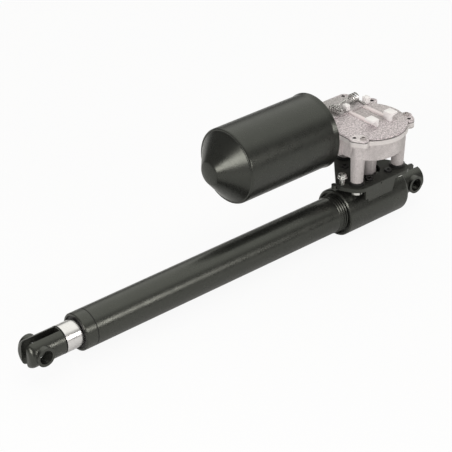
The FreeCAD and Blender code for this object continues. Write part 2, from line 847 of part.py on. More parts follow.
def gearbox_case():
    """Casting: a tapered pot for the wheel, a box for the worm, the motor's flange, three legs and the
    boss of the output shaft."""
    rim = cover_shape("case_rim", "rim_z - rim_height", "rim_height", "rim_z - lug_depth", "lug_depth")
    pot = cone("case_pot", "case_foot_r", "case_r - rim_step", "case_depth", ("drive_x", "0", "case_z"))
    box = block("case_box", ("flange_back - box_x - rim_step", "box_depth - worm_y - rim_step", "case_depth"),
                ("box_x + rim_step", "box_y + rim_step", "case_z"))
    disc = cylinder("case_flange", "can_r", "motor_flange_t", ("flange_back", "worm_y", "worm_z"), "x")
    legs = [cone("case_leg_" + name, "leg_r", "leg_top_r", "leg_len + floor_t", spot + ("foot_z",))
            for name, spot in zip(LEG_NAMES, LEGS)]
    caps = [cone("case_cap_" + name, "leg_top_r", "leg_cap_r", "leg_cap", spot + ("floor_z",))
            for name, spot in zip(LEG_NAMES, LEGS)]
    boss = cone("case_boss", "boss_r", "boss_top_r", "boss_len", ("drive_x", "0", "floor_z - boss_len"))
    step = cylinder("case_step", "case_foot_r - foot_step", "foot_step_h + floor_t",
                    ("drive_x", "0", "case_z - foot_step_h"))
    blank = fuse("case_blank", rim, pot, box, disc, boss, step, *legs, *caps)
    cavity = cylinder("case_cavity", "cavity_r", "case_depth", ("drive_x", "0", "floor_z"))
    bush_r = "arm_shaft_r + run_gap + arm_bush_wall + fit_gap"
    tunnel = cylinder("case_tunnel", "worm_pitch_r + 2 * worm_module", "flange_back - drive_x + worm_half",
                      ("drive_x - worm_half - free_gap", "worm_y", "worm_z"), "x")
    seats = cylinder("case_seats", bush_r, "2 * motor_reach + arm_bush_len",
                     ("drive_x - worm_half - arm_bush_len", "worm_y", "worm_z"), "x")
    shaft_bore = cylinder("case_shaft_bore", "output_r + run_gap + output_bush_wall + fit_gap",
                          "2 * boss_len", ("drive_x", "0", "floor_z - boss_len * 1.5"))
    bolts = [cylinder("case_tap_" + name, "leg_bolt_r + fit_gap", "bolt_grip + free_gap", spot + ("foot_z",))
             for name, spot in zip(LEG_NAMES, LEGS)]
    holes, screws = lug_spots()
    back_holes, back_screws = back_spots()
    taps = drill("case_lid_tap", "lid_screw_r + fit_gap", screws + back_screws,
                 "lid_z + lid_t - lid_screw_len", "lid_screw_len")
    pins = drill("case_lid_hole", "lid_hole_r", holes + back_holes, "rim_z - lug_depth + lug_skin", "3 * lug_depth")
    motor_taps = [cylinder("case_motor_tap_%d" % i, "motor_screw_r + fit_gap", "motor_screw_len",
                           ("flange_x - motor_screw_len",) + spot, "x")
                  for i, spot in enumerate(motor_screw_spots())]
    node("gearbox_case", cut("gearbox_case", blank, cavity, tunnel, seats, shaft_bore,
                             *bolts, *taps, *pins, *motor_taps))


def motor_relief(name):
    """Room beside the lid and gasket for the flange that carries the motor."""
    return cylinder(name, "can_r + free_gap", "2 * motor_flange_t",
                    ("flange_back - free_gap", "worm_y", "worm_z"), "x")


def lid_deck():
    """Low raised deck over the worm; the chokes and a post stand on it."""
    body = doc.addObject("PartDesign::Body", "lid_deck")
    drawing = sketch(body, "deck_outline", "XY_Plane", ("0", "0", "lid_z"))
    side = "flange_back - free_gap"
    outline(drawing, [
        ("drive_x + deck_left", "deck_front"),
        ("drive_x + deck_left", "deck_side"),
        ("drive_x + deck_turn", "deck_back"),
        (side, "deck_back"),
        (side, "deck_front"),
    ])
    pad(body, drawing, "lid_t + deck_h")
    doc.recompute()
    return body


def gearbox_lid():
    holes, screws = lug_spots()
    back_holes, back_screws = back_spots()
    plate = cover_shape("lid", "lid_z", "lid_t", "lid_z", "lid_t", "lid_inset")
    lid = fuse("lid_with_deck", plate, lid_deck())
    low = "lid_z - lid_t"
    head_room = cylinder("lid_head_room", "lid_head_r + free_gap", "2 * deck_h", back_screws[0] + ("top_z",))
    node("gearbox_lid", cut("gearbox_lid", lid, motor_relief("lid_relief"), head_room,
                            *drill("lid_hole", "lid_hole_r", holes + back_holes, low, "3 * lid_t"),
                            *drill("lid_screw_hole", "lid_screw_r + fit_gap", screws + back_screws, low,
                                   "3 * lid_t")))
    gasket = cover_shape("gasket", "rim_z", "gasket_t", "rim_z", "gasket_t", "gasket_inset")
    window = cylinder("gasket_window", "cavity_r", "3 * gasket_t", ("drive_x", "0", "rim_z - gasket_t"))
    node("lid_gasket", cut("lid_gasket", gasket, window, motor_relief("gasket_relief"),
                           *drill("gasket_hole", "lid_hole_r", holes + back_holes, "rim_z - gasket_t",
                                  "3 * gasket_t"),
                           *drill("gasket_screw_hole", "lid_screw_r + fit_gap", screws + back_screws,
                                  "rim_z - gasket_t", "3 * gasket_t")))
    fasteners = []
    for index, spot in enumerate(screws + back_screws):
        head = cylinder("lid_head_%d" % index, "lid_head_r", "lid_head", spot + ("top_z",))
        shank = cylinder("lid_shank_%d" % index, "lid_screw_r", "lid_screw_len",
                         spot + ("top_z - lid_screw_len",))
        fasteners.append(fuse("lid_screw_%d" % index, head, shank))
    node("lid_screws", group("lid_screws", *fasteners))


def lid_fittings():
    """Two rows across the lid: a choke coil, a lead post, a contact strip and a hooked terminal."""
    strips, posts, hooks = [], [], []
    sides = {"one": ("0", "0"), "two": ("hook_w", "hook_web")}
    bases = {"one": "top_z + deck_h", "two": "top_z"}
    for name in ("one", "two"):
        start = "hook_start_" + name
        strips.append(block("strip_" + name, ("strip_w", start + " - deck_front", "strip_h"),
                            ("drive_x + strip_%s - strip_w / 2" % name, "deck_front", "top_z")))
        posts.append(block("post_" + name, ("post_w", "post_len", "top_z + post_h - (%s)" % bases[name]),
                           ("drive_x + post_%s - post_w / 2" % name, "deck_front - post_setback - post_len",
                            bases[name])))
        roof_back, web_back = sides[name]
        edge = "drive_x + hook_" + name
        web = block("hook_web_" + name, ("hook_web", "hook_len", "hook_h"),
                    ("%s - %s" % (edge, web_back), start, "top_z"))
        roof = block("hook_roof_" + name, ("hook_w", "hook_len", "hook_roof"),
                     ("%s - %s" % (edge, roof_back), start, "top_z + hook_h - hook_roof"))
        hooks.append(fuse("hook_" + name, web, roof))
    node("contact_strips", group("contact_strips", *strips))
    node("lead_posts", group("lead_posts", *posts))
    node("terminal_blocks", group("terminal_blocks", *hooks))
    deck_z = "top_z + deck_h"
    upright = tube("choke_one", "choke_one_r", "choke_one_r - choke_wire", "choke_one_len",
                   ("drive_x + choke_one", "deck_front - choke_one_len", deck_z + " + choke_one_r"), "y")
    across = tube("choke_two", "choke_two_r", "choke_two_r - choke_wire", "choke_two_len",
                  ("drive_x + choke_two - choke_two_len", "choke_two_y", deck_z + " + choke_two_r"), "x")
    node("choke_coils", group("choke_coils", upright, across))


def motor_bracket():
    """Pressed plate under the three legs with a flange folded down beside the housing."""
    body = doc.addObject("PartDesign::Body", "motor_bracket")
    drawing = sketch(body, "plate_outline", "XY_Plane", ("0", "0", "pad_z"))
    ears = [("drive_x - leg_x", "far_ear_y"), LEGS[2], ("earth_x", "earth_y"), LEGS[0]]
    radii = ["far_ear_r", "back_ear_r", "earth_ear_r", "ear_r"]
    numbers = [(size("drive_x") - size("leg_x"), size("far_ear_y"), size("far_ear_r")),
               (size("drive_x"), -size("leg_circle"), size("back_ear_r")),
               (size("earth_x"), size("earth_y"), size("earth_ear_r")),
               (size("drive_x") + size("leg_x"), size("leg_y"), size("ear_r"))]
    belt(drawing, ears, radii, numbers)
    pad(body, drawing, "plate_t")
    corner = sketch(body, "corner_outline", "XY_Plane", ("0", "0", "pad_z"))
    circle(corner, ("corner_x", "corner_y"), "corner_r")
    pad(body, corner, "plate_t")
    fold = sketch(body, "fold_outline", "XZ_Plane", ("0", "0", "-flange_y"))
    outline(fold, [
        ("drive_x + leg_x - flange_inset", "plate_z - flange_drop"),
        ("drive_x + leg_x - flange_inset", "plate_z"),
        ("drive_x - leg_x + flange_short", "plate_z"),
        ("drive_x - leg_x + flange_short + flange_lean", "plate_z - flange_drop"),
    ])
    pad(body, fold, "flange_t")
    pip = sketch(body, "pip_outline", "XZ_Plane", ("0", "0", "-flange_y"))
    circle(pip, ("pip_x", "plate_z - pip_drop"), "pip_r")
    pocket(body, pip, "pip_r", True)
    holes = sketch(body, "plate_holes", "XY_Plane", ("0", "0", "plate_z"))
    for spot in LEGS:
        circle(holes, spot, "leg_bolt_r + free_gap")
    for spot in screw_spots():
        circle(holes, spot, "bracket_screw_r + free_gap")
    circle(holes, ("earth_x", "earth_y"), "earth_shank_r + fit_gap")
    circle(holes, ("drive_x", "0"), "boss_r + boss_room")
    pocket(body, holes, "plate_t")
    doc.recompute()
    node("motor_bracket", body)


def belt(drawing, spots, radii, numbers):
    """The outline of a plate stretched round a ring of circles, given anticlockwise."""
    count = len(spots)
    touches = []
    for index in range(count):
        x0, y0, r0 = numbers[index]
        x1, y1, r1 = numbers[(index + 1) % count]
        span = math.hypot(x1 - x0, y1 - y0)
        facing = math.atan2(y1 - y0, x1 - x0) - math.pi / 2
        facing += math.asin((r0 - r1) / span)
        touches.append(facing)
    for index in range(count):
        x, y, r = numbers[index]
        ring = Part.Circle(FreeCAD.Vector(x, y, 0), FreeCAD.Vector(0, 0, 1), r)
        drawing.addGeometry(Part.ArcOfCircle(ring, touches[index - 1], touches[index]))
    for index in range(count):
        follower = (index + 1) % count
        ends = []
        for place in (index, follower):
            x, y, r = numbers[place]
            facing = touches[index]
            ends.append(FreeCAD.Vector(x + r * math.cos(facing), y + r * math.sin(facing), 0))
        line = drawing.addGeometry(Part.LineSegment(*ends))
        drawing.addConstraint(Sketcher.Constraint("Tangent", index, 2, line, 1))
        drawing.addConstraint(Sketcher.Constraint("Tangent", line, 2, follower, 1))
    for index, (spot, radius) in enumerate(zip(spots, radii)):
        number = drawing.addConstraint(Sketcher.Constraint("Radius", index, numbers[index][2]))
        drawing.setExpression("Constraints[%d]" % number, formula(radius))
        pin_point(drawing, index, 3, spot)


def leg_fastenings():
    grommets, bolts, washers = [], [], []
    for name, spot in zip(LEG_NAMES, LEGS):
        grommets.append(tube("grommet_" + name, "grommet_r", "leg_bolt_r + free_gap", "grommet_t",
                             spot + ("plate_z",)))
        washers.append(tube("washer_" + name, "washer_r", "leg_bolt_r + free_gap", "washer_t",
                            spot + ("pad_z - washer_t",)))
        low = "pad_z - washer_t - bolt_head"
        crown = cone("bolt_crown_" + name, "bolt_head_r - bolt_crown", "bolt_head_r", "bolt_crown",
                     spot + (low,))
        head = cylinder("bolt_head_" + name, "bolt_head_r", "bolt_head - bolt_crown",
                        spot + (low + " + bolt_crown",))
        shank = cylinder("bolt_shank_" + name, "leg_bolt_r", "foot_z + bolt_grip - (%s)" % low, spot + (low,))
        bolts.append(fuse("bolt_" + name, crown, head, shank))
    node("leg_grommets", group("leg_grommets", *grommets))
    node("leg_washers", group("leg_washers", *washers))
    node("leg_bolts", group("leg_bolts", *bolts))


def bracket_screws():
    screws = []
    for index, spot in enumerate(screw_spots()):
        head = cylinder("bracket_head_%d" % index, "bracket_head_r", "bracket_head", spot + ("plate_z",))
        shank = cylinder("bracket_shank_%d" % index, "bracket_screw_r", "bracket_screw_len",
                         spot + ("plate_z - bracket_screw_len",))
        screws.append(fuse("bracket_screw_%d" % index, head, shank))
    node("bracket_screws", group("bracket_screws", *screws))
    spot = ("earth_x", "earth_y")
    head = cylinder("earth_head", "earth_head_r", "earth_head", spot + ("plate_z + earth_stand",))
    shank = cylinder("earth_shank", "earth_shank_r", "plate_t + earth_stand", spot + ("pad_z",))
    node("earth_screw", fuse("earth_screw", head, shank))


def motor_screw_spots():
    reach = "(can_r - can_wall - motor_head_r - free_gap)"
    spots = []
    for turn in ("motor_screw_angle", "motor_screw_angle + 180"):
        spots.append(("worm_y + %s * cos(%s)" % (reach, turn), "worm_z + %s * sin(%s)" % (reach, turn)))
    return spots


def motor_cover():
    axis = ("worm_y", "worm_z")
    inside = "can_r + free_gap"
    tip_x = "boot_x + boot_cone"
    boot = turned("motor_boot", [
        ("flange_back", inside),
        ("flange_back", "boot_r + boot_bead"),
        ("flange_back + boot_bead_len", "boot_r"),
        ("boot_x", "boot_r"),
        ("boot_x", "boot_r - boot_shoulder"),
        (tip_x, "boot_nub_r"),
        (tip_x, "0"),
        (tip_x + " - boot_wall", "0"),
        ("boot_x - boot_wall", inside),
    ], axis)
    dress(boot, "Fillet", "boot_edge", ring_at(size("flange_back"), size("boot_r") + size("boot_bead")))
    dress(boot, "Fillet", "boot_shoulder - fit_gap", ring_at(size("boot_x"), size("boot_r")))
    dress(boot, "Fillet", "boot_nub_round", ring_at(size("boot_x") + size("boot_cone"), size("boot_nub_r")))
    node("motor_boot", boot)
    node("motor_can", turned("motor_can", [
        ("flange_x", "can_r - can_wall"),
        ("flange_x", "can_r"),
        ("can_end", "can_r"),
        ("can_end", "can_nose_r"),
        ("can_end + can_nose", "can_nose_r"),
        ("can_end + can_nose", "0"),
        ("can_end + can_nose - can_wall", "0"),
        ("can_end + can_nose - can_wall", "can_nose_r - can_wall"),
        ("can_end - can_wall", "can_nose_r - can_wall"),
        ("can_end - can_wall", "can_r - can_wall"),
    ], axis))


def field_magnets():
    """Two arc magnets inside the can, either side of the armature."""
    at = ("core_x - magnet_extra", "worm_y", "worm_z")
    length = "core_len + 2 * magnet_extra"
    outer = "can_r - can_wall - fit_gap"
    ring = tube("magnet_ring", outer, outer + " - magnet_t", length, at, "x")
    wide = "2 * can_r"
    gap = "2 * can_r * sin(magnet_gap_angle / 2)"
    slot = block("magnet_slot", (length, wide, gap),
                 ("core_x - magnet_extra", "worm_y - can_r", "worm_z - (%s) / 2" % gap))
    node("field_magnets", cut("field_magnets", ring, slot))


def armature():
    axis = ("worm_y", "worm_z")
    worm_root = "worm_pitch_r - dedendum * worm_module"
    worm_low = "drive_x - worm_half"
    worm_high = "drive_x + worm_half"
    node("armature_shaft", turned("armature_shaft", [
        (worm_low + " - arm_bush_len", "0"),
        (worm_low + " - arm_bush_len", "arm_shaft_r"),
        (worm_low, "arm_shaft_r"),
        (worm_low, worm_root),
        (worm_high, worm_root),
        (worm_high, "arm_shaft_r"),
        ("can_end + can_nose - can_wall - free_gap", "arm_shaft_r"),
        ("can_end + can_nose - can_wall - free_gap", "0"),
    ], axis))
    body = doc.addObject("PartDesign::Body", "armature_core")
    drawing = sketch(body, "core_outline", "YZ_Plane", ("worm_y", "worm_z", "core_x"))
    circle(drawing, ("0", "0"), "core_r")
    circle(drawing, ("0", "0"), "arm_shaft_r + fit_gap")
    pad(body, drawing, "core_len")
    notch = sketch(body, "core_slot", "YZ_Plane", ("worm_y", "worm_z", "core_x"))
    outline(notch, [
        ("-slot_half", "core_r - slot_depth"),
        ("slot_half", "core_r - slot_depth"),
        ("slot_half", "core_r + slot_depth"),
        ("-slot_half", "core_r + slot_depth"),
    ])
    first = pocket(body, notch, "core_len", True)
    doc.recompute()
    ring = body.newObject("PartDesign::PolarPattern", "core_slot_ring")
    ring.Originals = [first]
    ring.Axis = (notch, ["N_Axis"])
    ring.Angle = 360
    ring.Occurrences = int(round(size("core_slots")))
    body.Tip = ring
    doc.recompute()
    node("armature_core", body)
    winding_r = "core_r - slot_depth / 2"
    ends = []
    for name, start in (("near", "core_x - coil_overhang"), ("far", "core_x + core_len")):
        ends.append(tube("winding_" + name, winding_r, "coil_bore_r", "coil_overhang",
                         (start, "worm_y", "worm_z"), "x"))
    node("armature_windings", group("armature_windings", *ends))
    node("commutator", tube("commutator", "comm_r", "arm_shaft_r + fit_gap", "comm_len",
                            ("comm_x", "worm_y", "worm_z"), "x"))


def brush_gear():
    at = ("flange_x + holder_start", "worm_y", "worm_z")
    node("brush_holder", tube("brush_holder", "can_r - can_wall - fit_gap", "holder_bore_r", "holder_t",
                              at, "x"))
    x = "flange_x + holder_start + holder_t"
    near = block("brush_near", ("brush_w", "brush_len", "brush_w"),
                 (x, "worm_y + comm_r + run_gap", "worm_z - brush_w / 2"))
    far = block("brush_far", ("brush_w", "brush_len", "brush_w"),
                (x, "worm_y - comm_r - run_gap - brush_len", "worm_z - brush_w / 2"))
    node("carbon_brushes", group("carbon_brushes", near, far))


def armature_bushes():
    inner = "arm_shaft_r + run_gap"
    outer = inner + " + arm_bush_wall"
    spots = {"worm": "drive_x - worm_half - arm_bush_len", "flange": "flange_x - arm_bush_len"}
    bushes = [tube("bush_" + name, outer, inner, "arm_bush_len", (x, "worm_y", "worm_z"), "x")
              for name, x in spots.items()]
    nose = tube("bush_nose", "can_nose_r - can_wall - fit_gap", inner, "can_nose - can_wall",
                ("can_end - can_wall", "worm_y", "worm_z"), "x")
    node("armature_bushes", group("armature_bushes", *bushes, nose))


def motor_screws():
    screws = []
    for index, spot in enumerate(motor_screw_spots()):
        head = cylinder("motor_head_%d" % index, "motor_head_r", "motor_head", ("flange_x",) + spot, "x")
        shank = cylinder("motor_shank_%d" % index, "motor_screw_r", "motor_screw_len",
                         ("flange_x - motor_screw_len",) + spot, "x")
        screws.append(fuse("motor_screw_%d" % index, head, shank))
    node("motor_screws", group("motor_screws", *screws))


def write_parts():
    doc.recompute()
    for thing in doc.Objects:
        if "Invalid" in thing.State or "Error" in thing.State:
            raise RuntimeError("%s failed: %s" % (thing.Name, thing.State))
    for thing in NODES:
        if thing.Shape.isNull() or not thing.Shape.isValid():
            raise RuntimeError("%s has no valid shape" % thing.Label)
    os.makedirs("parts", exist_ok=True)
    for thing in NODES:
        thing.Shape.exportStep("parts/%s.step" % thing.Label)


rear_clevis()
rear_housing()
outer_tube()
front_cap()
rod_and_nut()
front_clevis()
lead_screw()
screw_bearing()
mitre_gears()
output_shaft()
worm_wheel()
gearbox_case()
gearbox_lid()
lid_fittings()
motor_bracket()
leg_fastenings()
bracket_screws()
motor_cover()
field_magnets()
armature()
brush_gear()
armature_bushes()
motor_screws()
write_parts()
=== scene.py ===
import json
import math
from collections import namedtuple

import bmesh
import bpy
from mathutils import Matrix, Vector


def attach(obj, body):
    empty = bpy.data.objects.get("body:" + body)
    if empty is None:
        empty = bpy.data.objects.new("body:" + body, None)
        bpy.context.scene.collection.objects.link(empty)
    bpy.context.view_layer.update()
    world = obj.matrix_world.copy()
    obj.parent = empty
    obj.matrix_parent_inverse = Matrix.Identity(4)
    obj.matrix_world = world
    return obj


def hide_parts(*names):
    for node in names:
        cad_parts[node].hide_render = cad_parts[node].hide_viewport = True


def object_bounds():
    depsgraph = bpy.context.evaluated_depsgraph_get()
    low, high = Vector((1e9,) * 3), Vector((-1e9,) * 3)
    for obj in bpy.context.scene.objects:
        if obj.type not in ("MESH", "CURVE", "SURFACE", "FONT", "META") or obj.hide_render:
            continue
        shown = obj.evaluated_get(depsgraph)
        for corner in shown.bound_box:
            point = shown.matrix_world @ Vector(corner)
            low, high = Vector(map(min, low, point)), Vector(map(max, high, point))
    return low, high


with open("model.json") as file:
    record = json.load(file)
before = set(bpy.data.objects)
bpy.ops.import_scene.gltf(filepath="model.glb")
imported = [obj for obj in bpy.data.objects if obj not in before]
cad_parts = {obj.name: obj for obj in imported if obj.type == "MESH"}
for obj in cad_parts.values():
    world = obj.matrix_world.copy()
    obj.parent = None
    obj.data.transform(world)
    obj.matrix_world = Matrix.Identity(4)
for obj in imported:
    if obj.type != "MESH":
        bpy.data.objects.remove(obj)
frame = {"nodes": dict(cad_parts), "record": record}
cad_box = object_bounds()
cad = frame["nodes"]
scene = bpy.context.scene

MM = 0.001
QUARTER_TURN, HALF_TURN, FULL_TURN = math.pi / 2, math.pi, 2 * math.pi

# Places on the object, in millimetres, as the solids have them.
TUBE_R = 19.05
HOUSING_FRONT = 107.5
DRIVE_X = 62.0
WORM_Y, WORM_Z = -40.0, 80.0
PAD_Z, PLATE_Z, LID_TOP, DECK_Z = 31.5, 36.0, 93.0, 94.5
LID_SCREWS = [(95.37, 25.51), (23.22, 16.14), (97.0, -55.0)]
LUG_HOLES = [(100.19, 17.48), (27.77, 24.33), (27.28, -30.18), (43.0, -57.4)]
LEG_X, LEG_Y, REAR_LEG_Y = 29.715, 15.469, -33.5
CAP_SEAM_X, ROD_SHOULDER_X = 430.5, 462.45


def metres(spot):
    return [v * MM for v in spot]


# Helpers for the nodes of shaders and geometry trees.

def feed(tree, socket, source):
    """Links an input to another node's output, or sets it to a plain value."""
    if isinstance(source, bpy.types.NodeSocket):
        tree.links.new(source, socket)
    else:
        socket.default_value = source


def add(tree, kind, inputs=None, **settings):
    """A node with its settings, then its inputs by name or index."""
    node = tree.nodes.new(kind)
    for key, value in settings.items():
        setattr(node, key, value)
    for key, source in (inputs or {}).items():
        feed(tree, node.inputs[key], source)
    return node


def new_tree(name, kind, inputs, outputs):
    """An empty node group with its sockets, and what enters and leaves it."""
    tree = bpy.data.node_groups.new(name, kind)
    for in_out, sockets in (("INPUT", inputs), ("OUTPUT", outputs)):
        for label, value_kind in sockets.items():
            tree.interface.new_socket(label, in_out=in_out, socket_type="NodeSocket" + value_kind)
    enter, leave = tree.nodes.new("NodeGroupInput"), tree.nodes.new("NodeGroupOutput")
    return tree, enter.outputs, leave.inputs


def calc(tree, operation, first, second):
    return add(tree, "ShaderNodeMath", {0: first, 1: second}, operation=operation).outputs[0]


def spread(tree, value, low, high, to_low=0.0, to_high=1.0):
    """Stretches a value between two limits, held at the ends."""
    inputs = dict(enumerate((value, low, high, to_low, to_high)))
    return add(tree, "ShaderNodeMapRange", inputs, clamp=True).outputs[0]


def noise(tree, vector, scale, detail, roughness=0.5):
    inputs = {"Vector": vector, "Scale": scale, "Detail": detail, "Roughness": roughness}
    return add(tree, "ShaderNodeTexNoise", inputs).outputs[0]


def blend(tree, mask, under, over):
    """Two colours mixed by a mask. The mix node's sockets share names, so they go by index."""
    factor, first, second, result = 0, 6, 7, 2
    inputs = {factor: mask, first: under, second: over}
    return add(tree, "ShaderNodeMix", inputs, data_type="RGBA").outputs[result]


# Shader groups: effects that several finishes share.

def shader_tree(name, numbers, colours, outputs):
    """An empty shader group that takes a place on the object, numbers and colours."""
    inputs = {"Vector": "Vector", **dict.fromkeys(numbers, "Float"),
              **dict.fromkeys(colours, "Color")}
    return new_tree(name, "ShaderNodeTree", inputs, outputs)


def mottle_group():
    """Slow clouds of colour with finer clouds in them."""
    finer, broad_share, tight_share, middle = 9.0, 0.6, 0.4, 0.5
    tree, enter, leave = shader_tree("mottle", ("Scale", "Contrast"), ("Low", "High"),
                                     {"Color": "Color"})
    broad = noise(tree, enter["Vector"], enter["Scale"], detail=3.0)
    tight_scale = calc(tree, "MULTIPLY", enter["Scale"], finer)
    tight = noise(tree, enter["Vector"], tight_scale, detail=5.0, roughness=0.65)
    both = calc(tree, "ADD", calc(tree, "MULTIPLY", broad, broad_share),
                calc(tree, "MULTIPLY", tight, tight_share))
    low = calc(tree, "SUBTRACT", middle, enter["Contrast"])
    high = calc(tree, "ADD", middle, enter["Contrast"])
    mask = spread(tree, both, low, high)
    feed(tree, leave["Color"], blend(tree, mask, enter["Low"], enter["High"]))
    return tree


def skin_group():
    """Fine surface grain: uneven gloss and the height of its bumps."""
    slower, low, high = 0.07, 0.35, 0.65
    tree, enter, leave = shader_tree("skin", ("Scale", "Gloss", "Matt"), (),
                                     {"Roughness": "Float", "Height": "Float"})
    fine = noise(tree, enter["Vector"], enter["Scale"], detail=4.0, roughness=0.6)
    slow_scale = calc(tree, "MULTIPLY", enter["Scale"], slower)
    slow = noise(tree, enter["Vector"], slow_scale, detail=2.0)
    mean = calc(tree, "MULTIPLY", calc(tree, "ADD", fine, slow), 0.5)
    rough = spread(tree, mean, low, high, enter["Gloss"], enter["Matt"])
    feed(tree, leave["Roughness"], rough)
    feed(tree, leave["Height"], fine)
    return tree


def grit_group():
    """Scattered grains and pits, as sand casting leaves them."""
    core, edge = 0.05, 0.65
    tree, enter, leave = shader_tree("grit", ("Scale", "Amount"), (),
                                     {"Mask": "Float", "Height": "Float"})
    cells = add(tree, "ShaderNodeTexVoronoi", {"Vector": enter["Vector"], "Scale": enter["Scale"]},
                feature="F1").outputs
    chance = add(tree, "ShaderNodeSeparateColor", {"Color": cells["Color"]}).outputs[0]
    keep = calc(tree, "LESS_THAN", chance, enter["Amount"])
    dot = spread(tree, cells["Distance"], core, edge, 1.0, 0.0)
    mask = calc(tree, "MULTIPLY", keep, dot)
    feed(tree, leave["Mask"], mask)
    feed(tree, leave["Height"], calc(tree, "SUBTRACT", cells["Distance"], mask))
    return tree


def scuff_group():
    """Faint short scratches that run mostly along X, in some areas only."""
    stretch, tilt = (1.0, 14.0, 14.0), (0.1, 0.16, 0.12)
    line_edges, area_edges = (0.62, 0.7), (0.45, 0.65)
    tree, enter, leave = shader_tree("scuffs", ("Scale", "Amount"), (), {"Mask": "Float"})
    along = add(tree, "ShaderNodeMapping",
                {"Vector": enter["Vector"], "Scale": stretch, "Rotation": tilt}).outputs[0]
    lines = noise(tree, along, enter["Scale"], detail=6.0, roughness=0.7)
    areas = noise(tree, enter["Vector"], enter["Scale"], detail=2.0)
    mask = calc(tree, "MULTIPLY", spread(tree, lines, *line_edges),
                spread(tree, areas, *area_edges))
    feed(tree, leave["Mask"], calc(tree, "MULTIPLY", mask, enter["Amount"]))
    return tree


def turned_group():
    """Fine rings round a piece that was turned or ground about X."""
    squash = (1.0, 0.004, 0.004)
    tree, enter, leave = shader_tree("turned", ("Pitch",), (), {"Height": "Float"})
    along = add(tree, "ShaderNodeMapping", {"Vector": enter["Vector"], "Scale": squash}).outputs[0]
    feed(tree, leave["Height"], noise(tree, along, enter["Pitch"], detail=3.0))
    return tree


MOTTLE, SKIN, GRIT = mottle_group(), skin_group(), grit_group()
SCUFFS, TURNED = scuff_group(), turned_group()
SCUFF_ROUGHENS = 0.2
PATCH_EDGE = 0.75
GRAIN_ON_TURNED = 0.25

# Grit or scuffs: how fine they are, how many there are and their colour.
Marks = namedtuple("Marks", "scale amount tone")
# An ellipsoid of another tone, in millimetres, how strongly it covers and how much rougher it is.
Patch = namedtuple("Patch", "middle half tone cover rougher", defaults=(0.0,))


def shade(value):
    """A grey or an RGB triple as a colour."""
    if isinstance(value, (int, float)):
        value = (value, value, value)
    return (*value, 1.0)


def finish(name, low, high, gloss, matt, metal=0.0, clouds=40.0, contrast=0.2, grain=800.0,
           bump=0.1, depth=0.0002, grit=None, scuffs=None, turned=None, patches=(), specular=0.5,
           tint=(1.0, 1.0, 1.0)):
    """A material: clouds between two colours and grain between two roughnesses, grit, scuffs and
    turned rings where the real surface has them, and patches of another tone, among them painted
    shade and a painted highlight."""
    material = bpy.data.materials.new(name)
    material.use_nodes = True
    tree = material.node_tree
    where = add(tree, "ShaderNodeTexCoord").outputs["Object"]

    def place(group, **inputs):
        return add(tree, "ShaderNodeGroup", {"Vector": where, **inputs}, node_tree=group).outputs

    def vector_math(operation, output, *inputs):
        node = add(tree, "ShaderNodeVectorMath", dict(enumerate(inputs)), operation=operation)
        return node.outputs[output]

    def roughen(mask, amount):
        return calc(tree, "ADD", rough, calc(tree, "MULTIPLY", mask, amount))

    clouded = place(MOTTLE, Scale=clouds, Low=shade(low), High=shade(high), Contrast=contrast)
    skin = place(SKIN, Scale=grain, Gloss=gloss, Matt=matt)
    colour, rough, height = clouded["Color"], skin["Roughness"], skin["Height"]
    if grit:
        grains = place(GRIT, Scale=grit.scale, Amount=grit.amount)
        colour = blend(tree, grains["Mask"], colour, shade(grit.tone))
        height = calc(tree, "ADD", height, grains["Height"])
    if scuffs:
        mask = place(SCUFFS, Scale=scuffs.scale, Amount=scuffs.amount)["Mask"]
        colour = blend(tree, mask, colour, shade(scuffs.tone))
        rough = roughen(mask, SCUFF_ROUGHENS)
    for patch in patches:
        away = vector_math("SUBTRACT", "Vector", where, metres(patch.middle))
        share = vector_math("DIVIDE", "Vector", away, metres(patch.half))
        reach = vector_math("LENGTH", "Value", share)
        mask = spread(tree, reach, PATCH_EDGE, 1.0, patch.cover, 0.0)
        colour = blend(tree, mask, colour, shade(patch.tone))
        rough = roughen(mask, patch.rougher)
    if turned:
        rings = place(TURNED, Pitch=turned)["Height"]
        height = calc(tree, "ADD", calc(tree, "MULTIPLY", height, GRAIN_ON_TURNED), rings)
    relief = add(tree, "ShaderNodeBump", {"Strength": bump, "Distance": depth, "Height": height})
    looks = {"Base Color": colour, "Roughness": rough, "Normal": relief.outputs[0],
             "Metallic": metal, "Specular IOR Level": specular, "Specular Tint": shade(tint)}
    for key, source in looks.items():
        feed(tree, tree.nodes["Principled BSDF"].inputs[key], source)
    return material


# The bracket plate's top: rougher, and darker with painted shade from the case above it.
PLATE_TOP_MATT_AND_PAINTED_SHADE = Patch((62, 0, 36), (62, 62, 1.5), (0.010, 0.010, 0.0095), cover=1.0, rougher=0.45)
# A lighter, slightly smoother band round the case's rim: a painted highlight.
CASE_RIM_PAINTED_HIGHLIGHT = Patch((62, 0, 87.8), (140, 140, 3.0), (0.80, 0.765, 0.76), cover=0.75, rougher=-0.1)
LID_TONES_AND_PAINTED_SHADE = [
    # Darker between the two contact ridges: painted shade.
    Patch((53, -10, 93), (13, 22, 6), (0.42, 0.395, 0.385), cover=0.55),
    Patch((33, -2, 93), (14, 30, 6), (0.52, 0.495, 0.485), cover=0.5),
    Patch((75, -45, 94), (46, 21, 8), (0.52, 0.51, 0.50), cover=0.65),
    Patch((98, 21.5, 93), (10, 9, 6), (0.92, 0.88, 0.88), cover=0.6)]
# The lid's screw heads: rougher, and darker with painted shade.
LID_SCREW_DULL_AND_PAINTED_SHADE = [
    Patch((x, y, 94), (6, 6, 5), (0.58, 0.545, 0.54), cover=1.0, rougher=0.3)
    for x, y in LID_SCREWS]

